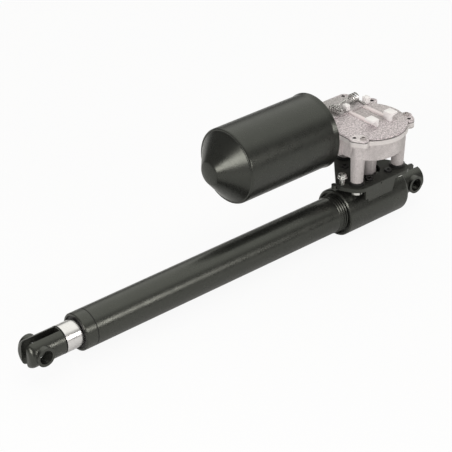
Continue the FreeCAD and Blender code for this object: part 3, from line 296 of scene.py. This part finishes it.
FINISH = {
    "black_paint": finish(
        "satin_black_paint", (0.012, 0.0125, 0.0115), (0.019, 0.0195, 0.018), gloss=0.24,
        matt=0.34, clouds=30, grain=1400, bump=0.05, depth=0.00012,
        scuffs=Marks(26, 0.2, (0.07, 0.07, 0.065)), specular=0.72, tint=(0.96, 1.0, 0.90),
        patches=[PLATE_TOP_MATT_AND_PAINTED_SHADE]),
    "cast_metal": finish(
        "as_cast_aluminium", (0.47, 0.44, 0.44), (0.73, 0.685, 0.69), gloss=0.46, matt=0.62,
        metal=0.35, clouds=34, contrast=0.16, grain=700, bump=0.35, depth=0.0004,
        grit=Marks(1300, 0.4, (0.38, 0.365, 0.36)), patches=[CASE_RIM_PAINTED_HIGHLIGHT]),
    "lid_metal": finish(
        "sandy_lid_casting", (0.42, 0.385, 0.395), (0.96, 0.875, 0.905), gloss=0.5, matt=0.68,
        metal=0.2, clouds=560, contrast=0.08, grain=520, bump=0.6, depth=0.0006,
        grit=Marks(820, 0.5, (0.40, 0.36, 0.37)), patches=LID_TONES_AND_PAINTED_SHADE),
    "boot_rubber": finish(
        "moulded_boot_rubber", (0.013, 0.0135, 0.0125), (0.020, 0.0205, 0.019), gloss=0.24,
        matt=0.33, clouds=18, grain=1100, bump=0.08, depth=0.00012,
        scuffs=Marks(18, 0.12, (0.06, 0.06, 0.055)), specular=0.6, tint=(0.95, 1.0, 0.90)),
    "soft_rubber": finish(
        "matt_black_rubber", 0.010, 0.018, gloss=0.36, matt=0.5, grain=1500, bump=0.15),
    "polished_rod": finish(
        "ground_bright_rod", (0.70, 0.69, 0.69), (0.82, 0.81, 0.81), gloss=0.2, matt=0.3,
        metal=1.0, clouds=22, bump=0.06, depth=0.00008, turned=2600,
        scuffs=Marks(34, 0.2, (0.5, 0.5, 0.5))),
    "zinc": finish(
        "bright_zinc_plate", (0.76, 0.76, 0.74), (0.90, 0.90, 0.88), gloss=0.18, matt=0.3,
        metal=1.0, clouds=160, grain=1800, bump=0.12, depth=0.0001, patches=LID_SCREW_DULL_AND_PAINTED_SHADE),
    "black_steel": finish(
        "black_oxide_steel", (0.012, 0.012, 0.012), (0.03, 0.03, 0.029), gloss=0.3, matt=0.5,
        metal=0.5, clouds=140, grain=1600, bump=0.1, depth=0.0001),
    "steel": finish(
        "machined_steel", (0.42, 0.42, 0.43), (0.58, 0.58, 0.59), gloss=0.24, matt=0.38,
        metal=1.0, clouds=50, bump=0.1, depth=0.0001, turned=2200),
    "bronze": finish(
        "sintered_bronze", (0.50, 0.33, 0.15), (0.66, 0.46, 0.22), gloss=0.38, matt=0.55,
        metal=1.0, clouds=90, grain=1500, bump=0.2, depth=0.0001,
        grit=Marks(1800, 0.2, (0.30, 0.19, 0.08))),
    "copper": finish(
        "enamelled_copper", (0.52, 0.20, 0.08), (0.72, 0.33, 0.15), gloss=0.22, matt=0.4,
        metal=1.0, clouds=120, grain=1400, bump=0.1, depth=0.0001),
    "strip_metal": finish(
        "tinned_strip", (0.80, 0.72, 0.725), (0.92, 0.84, 0.845), gloss=0.42, matt=0.58,
        metal=0.1, clouds=80, grain=900, bump=0.2, depth=0.0003),
    "choke_wire": finish(
        "tinned_wire", (0.40, 0.395, 0.385), (0.62, 0.61, 0.60), gloss=0.18, matt=0.3,
        metal=1.0, clouds=220, grain=1500, bump=0.1, depth=0.0001),
    "white_plastic": finish(
        "moulded_white_plastic", (0.98, 0.955, 0.955), (1.0, 0.98, 0.985), gloss=0.3, matt=0.42,
        clouds=70, grain=1400, bump=0.06, depth=0.0001),
    "gear_plastic": finish(
        "natural_nylon", (0.74, 0.71, 0.60), (0.84, 0.81, 0.71), gloss=0.36, matt=0.5,
        clouds=60, grain=1200, bump=0.08, depth=0.0001),
    "dark_plastic": finish(
        "moulded_phenolic", (0.03, 0.026, 0.022), (0.055, 0.048, 0.042), gloss=0.4, matt=0.55,
        clouds=90, grain=1300, bump=0.1, depth=0.0001),
    "ferrite": finish(
        "sintered_ferrite", (0.06, 0.058, 0.058), (0.10, 0.097, 0.096), gloss=0.5, matt=0.7,
        clouds=70, grain=1200, bump=0.2, depth=0.0002),
}

for part in frame["record"]["subparts"]:
    mesh = cad[part["node"]].data
    mesh.materials.clear()
    mesh.materials.append(FINISH[part["material_slot"]])


# Geometry trees: what repeats or follows a path.

TO_X = (0.0, QUARTER_TURN, 0.0)
HEAD_SIDES, SHANK_SIDES, HEX_SIDES = 40, 24, 6
CROSS_WIDTH = 0.5


def geometry_tree(name, lengths, counts=(), vectors=()):
    """An empty geometry tree that takes a mesh, sizes, counts, vectors and a material."""
    inputs = {"Geometry": "Geometry", **dict.fromkeys(lengths, "Float"),
              **dict.fromkeys(counts, "Int"), **dict.fromkeys(vectors, "Vector"),
              "Material": "Material"}
    return new_tree(name, "GeometryNodeTree", inputs, {"Geometry": "Geometry"})


def end_tree(tree, enter, leave, geometry):
    """Ends a tree in real geometry with its material."""
    real = add(tree, "GeometryNodeRealizeInstances", {"Geometry": geometry}).outputs[0]
    coat = add(tree, "GeometryNodeSetMaterial", {"Geometry": real, "Material": enter["Material"]})
    feed(tree, leave["Geometry"], coat.outputs[0])
    return tree


def spiral(tree, enter):
    """The path of a winding. It stands along Z, with its normals square to Z."""
    path = add(tree, "GeometryNodeCurveSpiral", {
        "Resolution": enter["Steps"], "Rotations": enter["Turns"], "Start Radius": enter["Radius"],
        "End Radius": enter["Radius"], "Height": enter["Length"]}).outputs[0]
    return add(tree, "GeometryNodeSetCurveNormal", {"Curve": path}, mode="Z_UP").outputs[0]


def circle(tree, sides, radius):
    inputs = {"Resolution": sides, "Radius": radius}
    return add(tree, "GeometryNodeCurvePrimitiveCircle", inputs).outputs[0]


def sweep(tree, path, section, caps=True):
    inputs = {"Curve": path, "Profile Curve": section, "Fill Caps": caps}
    return add(tree, "GeometryNodeCurveToMesh", inputs).outputs[0]


def move(tree, geometry, **inputs):
    return add(tree, "GeometryNodeTransform", {"Geometry": geometry, **inputs}).outputs[0]


def helix_tree():
    """A wire or thread wound about X, then turned and placed."""
    tree, enter, leave = geometry_tree(
        "helix_along_x", ("Turns", "Radius", "Length", "Wire Radius"), ("Wire Sides", "Steps"),
        ("Turn", "Start"))
    section = circle(tree, enter["Wire Sides"], enter["Wire Radius"])
    laid = move(tree, sweep(tree, spiral(tree, enter), section), Rotation=TO_X)
    placed = move(tree, laid, Rotation=enter["Turn"], Translation=enter["Start"])
    return end_tree(tree, enter, leave, placed)


def thread_tree():
    """A screw thread about X: a ridge of tapered section, mirrored by Hand if it is left-handed."""
    tree, enter, leave = geometry_tree(
        "thread_along_x", ("Turns", "Radius", "Length", "Inner Width", "Outer Width", "Height"),
        ("Steps",), ("Hand", "Turn", "Start"))
    section = add(tree, "GeometryNodeCurvePrimitiveQuadrilateral", {
        "Height": enter["Height"], "Bottom Width": enter["Inner Width"],
        "Top Width": enter["Outer Width"], "Offset": 0.0}, mode="TRAPEZOID").outputs[0]
    outward = move(tree, section, Rotation=(0.0, 0.0, -QUARTER_TURN))
    laid = move(tree, sweep(tree, spiral(tree, enter), outward), Rotation=TO_X)
    placed = move(tree, laid, Scale=enter["Hand"], Rotation=enter["Turn"],
                  Translation=enter["Start"])
    return end_tree(tree, enter, leave, placed)


def ring_tree():
    """A round ring about X."""
    tree, enter, leave = geometry_tree(
        "ring_about_x", ("Radius", "Wire Radius"), ("Wire Sides", "Steps"), ("Start",))
    loop = circle(tree, enter["Steps"], enter["Radius"])
    section = circle(tree, enter["Wire Sides"], enter["Wire Radius"])
    placed = move(tree, sweep(tree, loop, section, caps=False), Rotation=TO_X,
                  Translation=enter["Start"])
    return end_tree(tree, enter, leave, placed)


def lead_tree():
    """A round lead that runs smoothly through the points of the line it grows from."""
    tree, enter, leave = geometry_tree("lead_along_line", ("Wire Radius",), ("Wire Sides", "Steps"))
    line = add(tree, "GeometryNodeMeshToCurve", {"Mesh": enter["Geometry"]}).outputs[0]
    smooth = add(tree, "GeometryNodeCurveSplineType", {"Curve": line},
                 spline_type="CATMULL_ROM").outputs[0]
    even = add(tree, "GeometryNodeResampleCurve", {"Curve": smooth, "Count": enter["Steps"]})
    section = circle(tree, enter["Wire Sides"], enter["Wire Radius"])
    return end_tree(tree, enter, leave, sweep(tree, even.outputs[0], section))


def screw_tree(recess):
    """Screw heads with a driver recess, and their shanks, one on each point of a mesh."""
    tree, enter, leave = geometry_tree(
        "screws_" + recess, ("Head Radius", "Head Height", "Crown", "Recess Radius",
                             "Recess Depth", "Shank Radius", "Shank Length"), (), ("Turn",))

    def lift(geometry, height):
        offset = add(tree, "ShaderNodeCombineXYZ", {"Z": height}).outputs[0]
        return move(tree, geometry, Translation=offset)

    def cylinder(sides, radius, depth, middle):
        inputs = {"Vertices": sides, "Radius": radius, "Depth": depth}
        return lift(add(tree, "GeometryNodeMeshCylinder", inputs).outputs["Mesh"], middle)

    def times(value, factor):
        return calc(tree, "MULTIPLY", value, factor)

    wall = calc(tree, "SUBTRACT", enter["Head Height"], enter["Crown"])
    drum = cylinder(HEAD_SIDES, enter["Head Radius"], wall, times(wall, 0.5))
    cone = add(tree, "GeometryNodeMeshCone", {
        "Vertices": HEAD_SIDES, "Radius Bottom": enter["Head Radius"], "Depth": enter["Crown"],
        "Radius Top": calc(tree, "SUBTRACT", enter["Head Radius"], enter["Crown"])})
    crown = lift(cone.outputs["Mesh"], wall)
    shank = cylinder(SHANK_SIDES, enter["Shank Radius"], enter["Shank Length"],
                     times(enter["Shank Length"], -0.5))
    # The recess is cut by tools that are centred on the top of the head.
    tool_depth = times(enter["Recess Depth"], 2.0)
    tools = []
    if recess == "hex":
        tools.append(cylinder(HEX_SIDES, enter["Recess Radius"], tool_depth, enter["Head Height"]))
    else:
        long = times(enter["Recess Radius"], 2.0)
        slim = times(enter["Recess Radius"], CROSS_WIDTH)
        for x, y in ((long, slim), (slim, long)):
            extent = add(tree, "ShaderNodeCombineXYZ", {"X": x, "Y": y, "Z": tool_depth}).outputs[0]
            blade = add(tree, "GeometryNodeMeshCube", {"Size": extent}).outputs["Mesh"]
            tools.append(lift(blade, enter["Head Height"]))
    union = add(tree, "GeometryNodeMeshBoolean", operation="UNION", solver="EXACT")
    for piece in (drum, crown, shank):
        feed(tree, union.inputs["Mesh 2"], piece)
    body = union.outputs[0]
    for tool in tools:
        body = add(tree, "GeometryNodeMeshBoolean", {"Mesh 1": body, "Mesh 2": tool},
                   operation="DIFFERENCE", solver="EXACT").outputs[0]
    heads = add(tree, "GeometryNodeInstanceOnPoints", {
        "Points": enter["Geometry"], "Instance": body, "Rotation": enter["Turn"]})
    return end_tree(tree, enter, leave, heads.outputs[0])


HELIX, THREAD, RING, LEAD = helix_tree(), thread_tree(), ring_tree(), lead_tree()
CROSS_SCREWS, HEX_SCREWS = screw_tree("cross"), screw_tree("hex")


# Meshes and pieces.

CREASE = math.radians(32)
MERGE_DIST = 1e-6
AT_ORIGIN = [(0, 0, 0)]


def crease(mesh):
    """Smooth faces with sharp edges kept sharp, outward normals and no doubled points."""
    work = bmesh.new()
    work.from_mesh(mesh)
    bmesh.ops.remove_doubles(work, verts=work.verts, dist=MERGE_DIST)
    bmesh.ops.recalc_face_normals(work, faces=work.faces)
    for face in work.faces:
        face.smooth = True
    for edge in work.edges:
        edge.smooth = len(edge.link_faces) == 2 and edge.calc_face_angle(0.0) < CREASE
    work.to_mesh(mesh)
    work.free()


def link(name, data):
    piece = bpy.data.objects.new(name, data)
    scene.collection.objects.link(piece)
    return piece


def seat(piece, body, slot, *replaced):
    """The piece rides on its body and stands for what it replaces, which is hidden. The slot it is
    given is not used.
    """
    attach(piece, body)
    if replaced:
        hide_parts(*replaced)


def join(name, meshes):
    """One mesh of several, in the finish that they share."""
    work = bmesh.new()
    for mesh in meshes:
        work.from_mesh(mesh)
    for face in work.faces:
        face.material_index = 0
    whole = bpy.data.meshes.new(name)
    work.to_mesh(whole)
    work.free()
    whole.materials.append(next(slot for mesh in meshes for slot in mesh.materials if slot))
    crease(whole)
    return whole


def grow(name, runs, cores=()):
    """Runs trees over their points. All they make, with the cores, becomes one plain mesh."""
    meshes = list(cores)
    for tree, values, points in runs:
        base = bpy.data.meshes.new(name + "_points")
        steps = [(i, i + 1) for i in range(len(points) - 1)] if tree == LEAD else []
        base.from_pydata([metres(spot) for spot in points], steps, [])
        carrier = link(name + "_carrier", base)
        modifier = carrier.modifiers.new("tree", "NODES")
        modifier.node_group = tree
        for socket in tree.interface.items_tree:
            if socket.in_out == "INPUT" and socket.name in values:
                modifier[socket.identifier] = values[socket.name]
        bpy.context.view_layer.update()
        made = carrier.evaluated_get(bpy.context.evaluated_depsgraph_get())
        meshes.append(bpy.data.meshes.new_from_object(made))
        carrier.modifiers.clear()
        bpy.data.objects.remove(carrier)
    return link(name, join(name, meshes))


def moulded(name, meshes, slot, *replaced):
    """A piece of the frame, joined from plain meshes."""
    for mesh in meshes:
        mesh.materials.append(FINISH[slot])
    seat(link(name, join(name, meshes)), "frame", slot, *replaced)


# Runs of the trees. All their sizes are in millimetres.

def wound(slot, turns, radius, length, start, wire, sides=10, steps=28, turn=(0.0, 0.0, 0.0)):
    """A winding about X that is then turned."""
    return HELIX, {
        "Turns": float(turns), "Radius": radius * MM, "Length": length * MM,
        "Wire Radius": wire * MM, "Wire Sides": sides, "Steps": steps, "Turn": list(turn),
        "Start": metres(start), "Material": FINISH[slot]}, AT_ORIGIN


def upright_thread(slot, low, radius, length, pitch):
    """A thread that climbs along Z."""
    wire_share, sides, steps = 0.35, 4, 24
    return wound(slot, length / pitch, radius, length, low, wire_share * pitch, sides, steps,
                 (0.0, -QUARTER_TURN, 0.0))


def ring(slot, radius, x, wire):
    """A bead round the tube's axis."""
    sides, steps = 12, 96
    return RING, {
        "Radius": radius * MM, "Wire Radius": wire * MM, "Wire Sides": sides, "Steps": steps,
        "Start": metres((x, 0, 0)), "Material": FINISH[slot]}, AT_ORIGIN


def ridge(slot, start, length, lead_len, radii, widths, phase=0.0, left=False):
    """A thread about X between two radii, with its width at each."""
    inner, outer = radii
    steps = 40
    return THREAD, {
        "Turns": length / lead_len, "Radius": (inner + outer) / 2 * MM, "Length": length * MM,
        "Inner Width": widths[0] * MM, "Outer Width": widths[1] * MM,
        "Height": (outer - inner) * MM, "Steps": steps,
        "Hand": [1.0, -1.0 if left else 1.0, 1.0], "Turn": [phase, 0.0, 0.0],
        "Start": metres(start), "Material": FINISH[slot]}, AT_ORIGIN


def lead(slot, points, wire):
    """A lead through the points."""
    sides, steps_each = 12, 12
    return LEAD, {
        "Wire Radius": wire * MM, "Wire Sides": sides, "Steps": steps_each * len(points),
        "Material": FINISH[slot]}, points


Screw = namedtuple("Screw", "head_r head_h crown recess_r recess_depth shank_r shank_len")


def screws(tree, slot, points, size, turn=(0, 0, 0)):
    """Screws on the points, which are where each head's flat face sits."""
    return tree, {
        "Head Radius": size.head_r * MM, "Head Height": size.head_h * MM, "Crown": size.crown * MM,
        "Recess Radius": size.recess_r * MM, "Recess Depth": size.recess_depth * MM,
        "Shank Radius": size.shank_r * MM, "Shank Length": size.shank_len * MM,
        "Turn": list(turn), "Material": FINISH[slot]}, points


# Plain meshes, also from millimetres.

def arc(x, r, size, start, end, steps=8):
    """Points on a circle of that size about (x, r), from one angle to another in degrees."""
    angles = [math.radians(start + (end - start) * i / steps) for i in range(steps + 1)]
    return [(x + size * math.cos(a), r + size * math.sin(a)) for a in angles]


def lathe(name, profile, sides, axis=(0.0, 0.0), hollow=False):
    """A mesh turned about X from its (x, radius) points. A hollow one's last point meets its
    first, and a strip between two points on the axis has no faces."""
    work = bmesh.new()
    angles = [FULL_TURN * i / sides for i in range(sides)]
    rings = [[work.verts.new(metres((x, axis[0] + r * math.cos(a), axis[1] + r * math.sin(a))))
              for a in angles] for x, r in profile]
    count = len(rings)
    for k in range(count if hollow else count - 1):
        after = (k + 1) % count
        if profile[k][1] == 0.0 and profile[after][1] == 0.0:
            continue
        for i in range(sides):
            j = (i + 1) % sides
            work.faces.new((rings[k][i], rings[k][j], rings[after][j], rings[after][i]))
    if not hollow:
        work.faces.new(rings[0])
        work.faces.new(rings[-1])
    mesh = bpy.data.meshes.new(name)
    work.to_mesh(mesh)
    work.free()
    return mesh


def bar(name, outline, low, high, round_r, steps=3):
    """A moulded bar: an outline of (x, z) carried along Y, with every edge rounded."""
    work = bmesh.new()
    ends = [[work.verts.new(metres((x, y, z))) for x, z in outline] for y in (low, high)]
    work.faces.new(ends[0])
    work.faces.new(reversed(ends[1]))
    count = len(outline)
    for i in range(count):
        j = (i + 1) % count
        work.faces.new((ends[0][j], ends[0][i], ends[1][i], ends[1][j]))
    bmesh.ops.bevel(work, geom=work.edges[:], offset=round_r * MM, offset_type="OFFSET",
                    segments=steps, profile=0.5, affect="EDGES", clamp_overlap=True)
    mesh = bpy.data.meshes.new(name)
    work.to_mesh(mesh)
    work.free()
    return mesh


# Threads, boot and sealant.

def threads():
    """The tube's thread, which runs out of the housing, and those of the lugs' empty holes."""
    pitch, length, inside, wire = 3.0, 12.0, 3.0, 0.8
    start = HOUSING_FRONT - inside
    tube = wound("black_paint", length / pitch, TUBE_R, length, (start, 0, 0), wire, sides=4,
                 steps=64)
    seat(grow("tube_thread", [tube]), "frame", "black_paint")
    hole_low, hole_r, hole_depth, hole_pitch = 85.8, 2.0, 7.0, 0.8
    holes = [upright_thread("black_steel", (x, y, hole_low), hole_r, hole_depth, hole_pitch)
             for x, y in LUG_HOLES]
    seat(grow("lug_hole_threads", holes), "frame", "black_steel")


def drive_threads():
    """The worm, the two-start lead screw and its nut. Each thread lies in the gaps of its mate."""
    worm_module, worm_half = 1.5, 13.2
    worm_lead = math.pi * worm_module
    turns_to_middle = worm_half / worm_lead
    # A tooth of the wheel faces the worm's middle, so the ridge faces the other way there.
    away_from_wheel = 0.75 * FULL_TURN + turns_to_middle * FULL_TURN
    worm = ridge("steel", (DRIVE_X - worm_half, WORM_Y, WORM_Z), 2 * worm_half, worm_lead,
                 radii=(5.0, 8.4), widths=(2.3, 1.1), phase=away_from_wheel, left=True)
    seat(grow("worm_thread", [worm]), "armature", "steel")

    screw_lead, starts = 10.0, 2
    screw_x, screw_len, nut_x, nut_len = 98.8, 304.0, 119.6, 28.8
    core = lathe("lead_screw_core", [
        (71.0, 5.6), (71.4, 6.0), (92.0, 6.0), (92.0, 9.6), (92.4, 10.0), (96.6, 10.0),
        (97.0, 9.6), (97.0, 6.5), (404.2, 6.5), (405.0, 5.7)], sides=48)
    next_start = FULL_TURN / starts
    screw_ridges = [
        ridge("steel", (screw_x, 0, 0), screw_len, screw_lead, radii=(6.3, 7.95),
              widths=(2.9, 1.5), phase=next_start * i) for i in range(starts)]
    seat(grow("lead_screw_threaded", screw_ridges, [core]), "screw", "steel", "lead_screw")
    between = FULL_TURN * (nut_x - screw_x - screw_lead / starts / 2) / screw_lead
    nut_ridges = [
        ridge("bronze", (nut_x, 0, 0), nut_len, screw_lead, radii=(6.65, 8.2),
              widths=(1.3, 2.6), phase=between + next_start * i) for i in range(starts)]
    seat(grow("lead_nut_thread", nut_ridges), "extension", "bronze")


def boot():
    """The motor's boot: a slim flared rim, a rounded shoulder, and a blunt cone with a nub."""
    body_r, bore_r, tip_x = 40.0, 37.0, 246.6
    rim = arc(104.7, 40.25, 0.7, 180, 78)
    flare = [(107.0, 40.5), (108.6, 40.18), (109.8, 40.03), (110.6, body_r), (111.2, body_r)]
    shoulder = [(219.4, body_r)] + arc(220.02, 36.52, 3.48, 90, 50) + [(222.5, 38.9)]
    cone = [(222.5, 37.64), (222.7, 37.41), (243.8, 13.43)]
    nub = arc(240.25, 9.89, 5.0, 41.4, 15) + arc(203.4, 0.0, 43.2, 14, 1) + [(tip_x, 0.0)]
    inside = [(242.5, 0.0), (220.5, bore_r), (104.0, bore_r)]
    shell = lathe("boot_shell", rim + flare + shoulder + cone + nub + inside, sides=160,
                  axis=(WORM_Y, WORM_Z), hollow=True)
    moulded("motor_boot_moulded", [shell], "boot_rubber", "motor_boot")


def sealant():
    """Beads of black sealant in the seam of the front cap and where the clevis meets the rod."""
    cap = ring("soft_rubber", radius=18.35, x=CAP_SEAM_X, wire=0.55)
    seat(grow("cap_seam_sealant", [cap]), "frame", "soft_rubber")
    rod = ring("soft_rubber", radius=13.75, x=ROD_SHOULDER_X, wire=0.42)
    seat(grow("rod_shoulder_sealant", [rod]), "extension", "soft_rubber")


# Fastenings.

LID_SCREW = Screw(head_r=3.2, head_h=1.8, crown=0.8, recess_r=2.1, recess_depth=1.5,
                  shank_r=1.8, shank_len=8.0)
LEG_BOLT = Screw(head_r=6.6, head_h=7.0, crown=2.4, recess_r=2.6, recess_depth=2.5,
                 shank_r=3.0, shank_len=20.0)
BRACKET_SCREW = Screw(head_r=4.2, head_h=2.0, crown=0.5, recess_r=1.9, recess_depth=1.2,
                      shank_r=2.5, shank_len=10.0)
EARTH_SCREW = Screw(head_r=4.2, head_h=3.4, crown=1.2, recess_r=2.3, recess_depth=1.6,
                    shank_r=2.4, shank_len=12.0)
# The washer under the earth screw is made as a low head.
EARTH_WASHER = Screw(head_r=5.0, head_h=1.4, crown=0.4, recess_r=3.0, recess_depth=0.2,
                     shank_r=2.5, shank_len=10.8)


def fastenings():
    """The screws and bolts that show, with their driver recesses."""
    lid_spots = [(x, y, LID_TOP) for x, y in LID_SCREWS]
    seat(grow("lid_screws_socketed", [screws(HEX_SCREWS, "zinc", lid_spots, LID_SCREW)]),
         "frame", "zinc", "lid_screws")
    washer = 1.5
    under = PAD_Z - washer
    leg_spots = [(DRIVE_X + LEG_X, LEG_Y, under), (DRIVE_X - LEG_X, LEG_Y, under),
                 (DRIVE_X, REAR_LEG_Y, under)]
    head_down = (HALF_TURN, 0, 0)
    seat(grow("leg_bolts_headed", [screws(HEX_SCREWS, "zinc", leg_spots, LEG_BOLT, head_down)]),
         "frame", "zinc", "leg_bolts")
    off_x, off_y = 14.0, 18.0
    plate_spots = [(DRIVE_X + x, y, PLATE_Z) for x in (off_x, -off_x) for y in (off_y, -off_y)]
    seat(grow("bracket_screws_socketed", [
        screws(HEX_SCREWS, "black_steel", plate_spots, BRACKET_SCREW)]),
        "frame", "black_steel", "bracket_screws")
    x, y, washer_z, thread_z = 104.0, 6.6, PLATE_Z + 7.5, PLATE_Z - 3.0
    thread_len, pitch = 10.0, 1.0
    seat(grow("earth_screw_crossed", [
        screws(CROSS_SCREWS, "zinc", [(x, y, washer_z + EARTH_WASHER.head_h)], EARTH_SCREW),
        screws(HEX_SCREWS, "zinc", [(x, y, washer_z)], EARTH_WASHER),
        upright_thread("zinc", (x, y, thread_z), EARTH_SCREW.shank_r, thread_len, pitch)]),
        "frame", "zinc", "earth_screw")


# Fittings on the lid.

def lid_fittings():
    """The rounded contact ridges, each with a hook at its front end and a post at its rear one."""
    ridge_half, rise, fullness, ridge_start, steps = 2.6, 2.2, 0.7, -25.0, 10
    one_start, two_start, hook_wide = 5.4, 6.0, 11.0
    ridges = []
    for name, x, end in (("one", 64.7, one_start), ("two", 43.4, two_start)):
        angles = [HALF_TURN * i / steps for i in range(steps + 1)]
        arch = [(x + ridge_half * math.cos(a), LID_TOP + rise * math.sin(a) ** fullness)
                for a in angles]
        ridges.append(bar("ridge_" + name, arch, ridge_start, end, round_r=0.15, steps=2))
    moulded("contact_ridges", ridges, "strip_metal", "contact_strips")

    base, under, top, hook_round = LID_TOP, LID_TOP + 6.4, LID_TOP + 9.0, 0.45
    hooks = [
        bar("hook_one", [(64.2, base), (66.9, base), (66.9, under), (74.2, under), (74.2, top),
                         (64.2, top)], one_start, one_start + hook_wide, hook_round),
        bar("hook_two", [(47.6, base), (47.6, top), (37.6, top), (37.6, under), (44.9, under),
                         (44.9, base)], two_start, two_start + hook_wide, hook_round)]
    moulded("terminal_hooks", hooks, "white_plastic", "terminal_blocks")

    half, high, post_ends = 3.25, LID_TOP + 8.5, (-33.0, -26.0)
    posts = []
    for name, x, low in (("one", 65.8, DECK_Z), ("two", 36.8, LID_TOP)):
        outline = [(x - half, low), (x + half, low), (x + half, high), (x - half, high)]
        posts.append(bar("post_" + name, outline, *post_ends, round_r=1.5, steps=5))
    moulded("lead_posts_rounded", posts, "white_plastic", "lead_posts")


def choke_coils():
    """Two coils on the lid's deck, the wire that joins them and a lead from each to its contact."""
    wire, joining_wire = 0.8, 1.1
    one_turns, one_out, one_len = 4.5, 4.0, 15.0
    two_turns, two_out, two_len = 3.0, 5.4, 11.0
    one_r, two_r = one_out - wire, two_out - wire
    one = (79.0, -40.0 + wire, DECK_Z + one_out)
    two = (42.0 + wire, -37.4, DECK_Z + two_out)
    along_y = (0.0, 0.0, QUARTER_TURN)
    runs = [
        wound("choke_wire", one_turns, one_r, one_len - 2 * wire, one, wire, turn=along_y),
        wound("choke_wire", two_turns, two_r, two_len - 2 * wire, two, wire),
        lead("choke_wire", [
            (79.0, -25.8, one[2] + one_r), (76.5, -24.2, 100.0), (73.0, -24.4, 97.2),
            (70.5, -26.0, 96.4), (68.2, -28.5, 96.6)], wire),
        lead("choke_wire", [
            (79.0, -39.2, one[2] - one_r), (76.0, -41.6, 96.0), (71.0, -38.6, 98.0),
            (65.0, -38.0, 99.5), (58.5, -39.4, 99.5), (53.6, -38.6, 101.5),
            (52.2, -37.4, two[2] + two_r)], joining_wire),
        lead("choke_wire", [
            (42.8, -37.4, two[2] - two_r), (41.8, -35.0, 95.6), (42.6, -31.0, 95.7),
            (42.8, -27.5, 95.7), (43.2, -24.0, 95.2)], wire)]
    seat(grow("choke_coils_wound", runs), "frame", "choke_wire", "choke_coils")


threads()
drive_threads()
boot()
sealant()
fastenings()
lid_fittings()
choke_coils()


# The stage, light and camera, in metres.

def stage():
    """A pale floor that shows white to the camera and to far reflections, with a soft shadow."""
    half, gap = 6.0, 0.001
    near, far = 0.5, 1.6
    white_to_camera, mirrored_share, glow_share = 0.92, (0.1, 0.8), (1.0, 0.35)
    low = cad_box[0][2] - gap
    corners = [(-half, -half, low), (half, -half, low), (half, half, low), (-half, half, low)]
    mesh = bpy.data.meshes.new("floor")
    mesh.from_pydata(corners, [], [(0, 1, 2, 3)])
    floor = link("floor", mesh)
    material = bpy.data.materials.new("pale_floor")
    material.use_nodes = True
    tree = material.node_tree
    shader = tree.nodes["Principled BSDF"]
    for key, value in (("Base Color", shade(0.82)), ("Roughness", 0.9),
                       ("Specular IOR Level", 0.1)):
        feed(tree, shader.inputs[key], value)
    ray = add(tree, "ShaderNodeLightPath").outputs
    where = add(tree, "ShaderNodeTexCoord").outputs["Object"]
    away = add(tree, "ShaderNodeVectorMath", {0: where}, operation="LENGTH").outputs["Value"]
    straight = calc(tree, "MAXIMUM", ray["Is Camera Ray"], ray["Is Transmission Ray"])
    mirrored = calc(tree, "MULTIPLY", ray["Is Glossy Ray"],
                    spread(tree, away, near, far, *mirrored_share))
    seen = calc(tree, "MAXIMUM", calc(tree, "MULTIPLY", straight, white_to_camera), mirrored)
    strength = calc(tree, "MAXIMUM", straight, spread(tree, away, near, far, *glow_share))
    glow = add(tree, "ShaderNodeEmission", {"Color": shade(1.0), "Strength": strength})
    both = add(tree, "ShaderNodeMixShader", {0: seen, 1: shader.outputs[0], 2: glow.outputs[0]})
    feed(tree, tree.nodes["Material Output"].inputs["Surface"], both.outputs[0])
    mesh.materials.append(material)


def area_light(name, place, target, size, power):
    """A slightly warm softbox that faces its target."""
    lamp = bpy.data.lights.new(name, "AREA")
    lamp.color = (1.0, 0.96, 0.93)
    lamp.shape = "RECTANGLE"
    lamp.size, lamp.size_y = size
    lamp.energy = power
    holder = link(name, lamp)
    holder.location = place
    holder.rotation_euler = (Vector(target) - Vector(place)).to_track_quat("-Z", "Y").to_euler()


def light():
    """A sky that is bright round one direction and dim elsewhere, and three softboxes."""
    brightest, edge, full, dim, bright = (-0.38, -0.25, 0.89), 0.54, 0.80, 0.13, 1.2
    world = bpy.data.worlds.new("studio")
    scene.world = world
    world.use_nodes = True
    tree = world.node_tree
    sky = tree.nodes["Background"]
    feed(tree, sky.inputs["Color"], shade((1.0, 0.995, 0.94)))
    where = add(tree, "ShaderNodeTexCoord").outputs["Generated"]
    facing = add(tree, "ShaderNodeVectorMath", {0: where, 1: brightest}, operation="DOT_PRODUCT")
    strength = spread(tree, facing.outputs["Value"], edge, full, dim, bright)
    feed(tree, sky.inputs["Strength"], strength)
    area_light("side_softbox", (-0.50, 1.6, 0.68), (0.42, 0.0, 0.0), (0.34, 0.5), power=6.0)
    area_light("front_softbox", (1.63, 0.55, 0.68), (0.2, 0.0, 0.04), (0.66, 0.66), power=13.0)
    area_light("fill_softbox", (0.1, 1.9, 0.5), (0.1, 0.0, 0.06), (0.35, 0.35), power=4.0)


def camera():
    """The photograph's camera, as it was fitted to the tube and the lid."""
    sensor, focal_px, picture_px = 36.0, 1710.0, 452.0
    place = (1.20195, 1.08918, 0.90895)
    right = Vector((-0.75544, 0.65522, 0.0))
    up = Vector((-0.33746, -0.38908, 0.85717))
    back = Vector((0.56163, 0.64754, 0.51504))
    lens = bpy.data.cameras.new("photo_camera")
    lens.sensor_width = sensor
    lens.lens = sensor * focal_px / picture_px
    lens.clip_start, lens.clip_end = 0.05, 50.0
    holder = link("photo_camera", lens)
    turn = Matrix((right, up, back)).transposed().to_4x4()
    holder.matrix_world = Matrix.Translation(place) @ turn
    scene.camera = holder


stage()
light()
camera()
scene.view_settings.view_transform = "Standard"
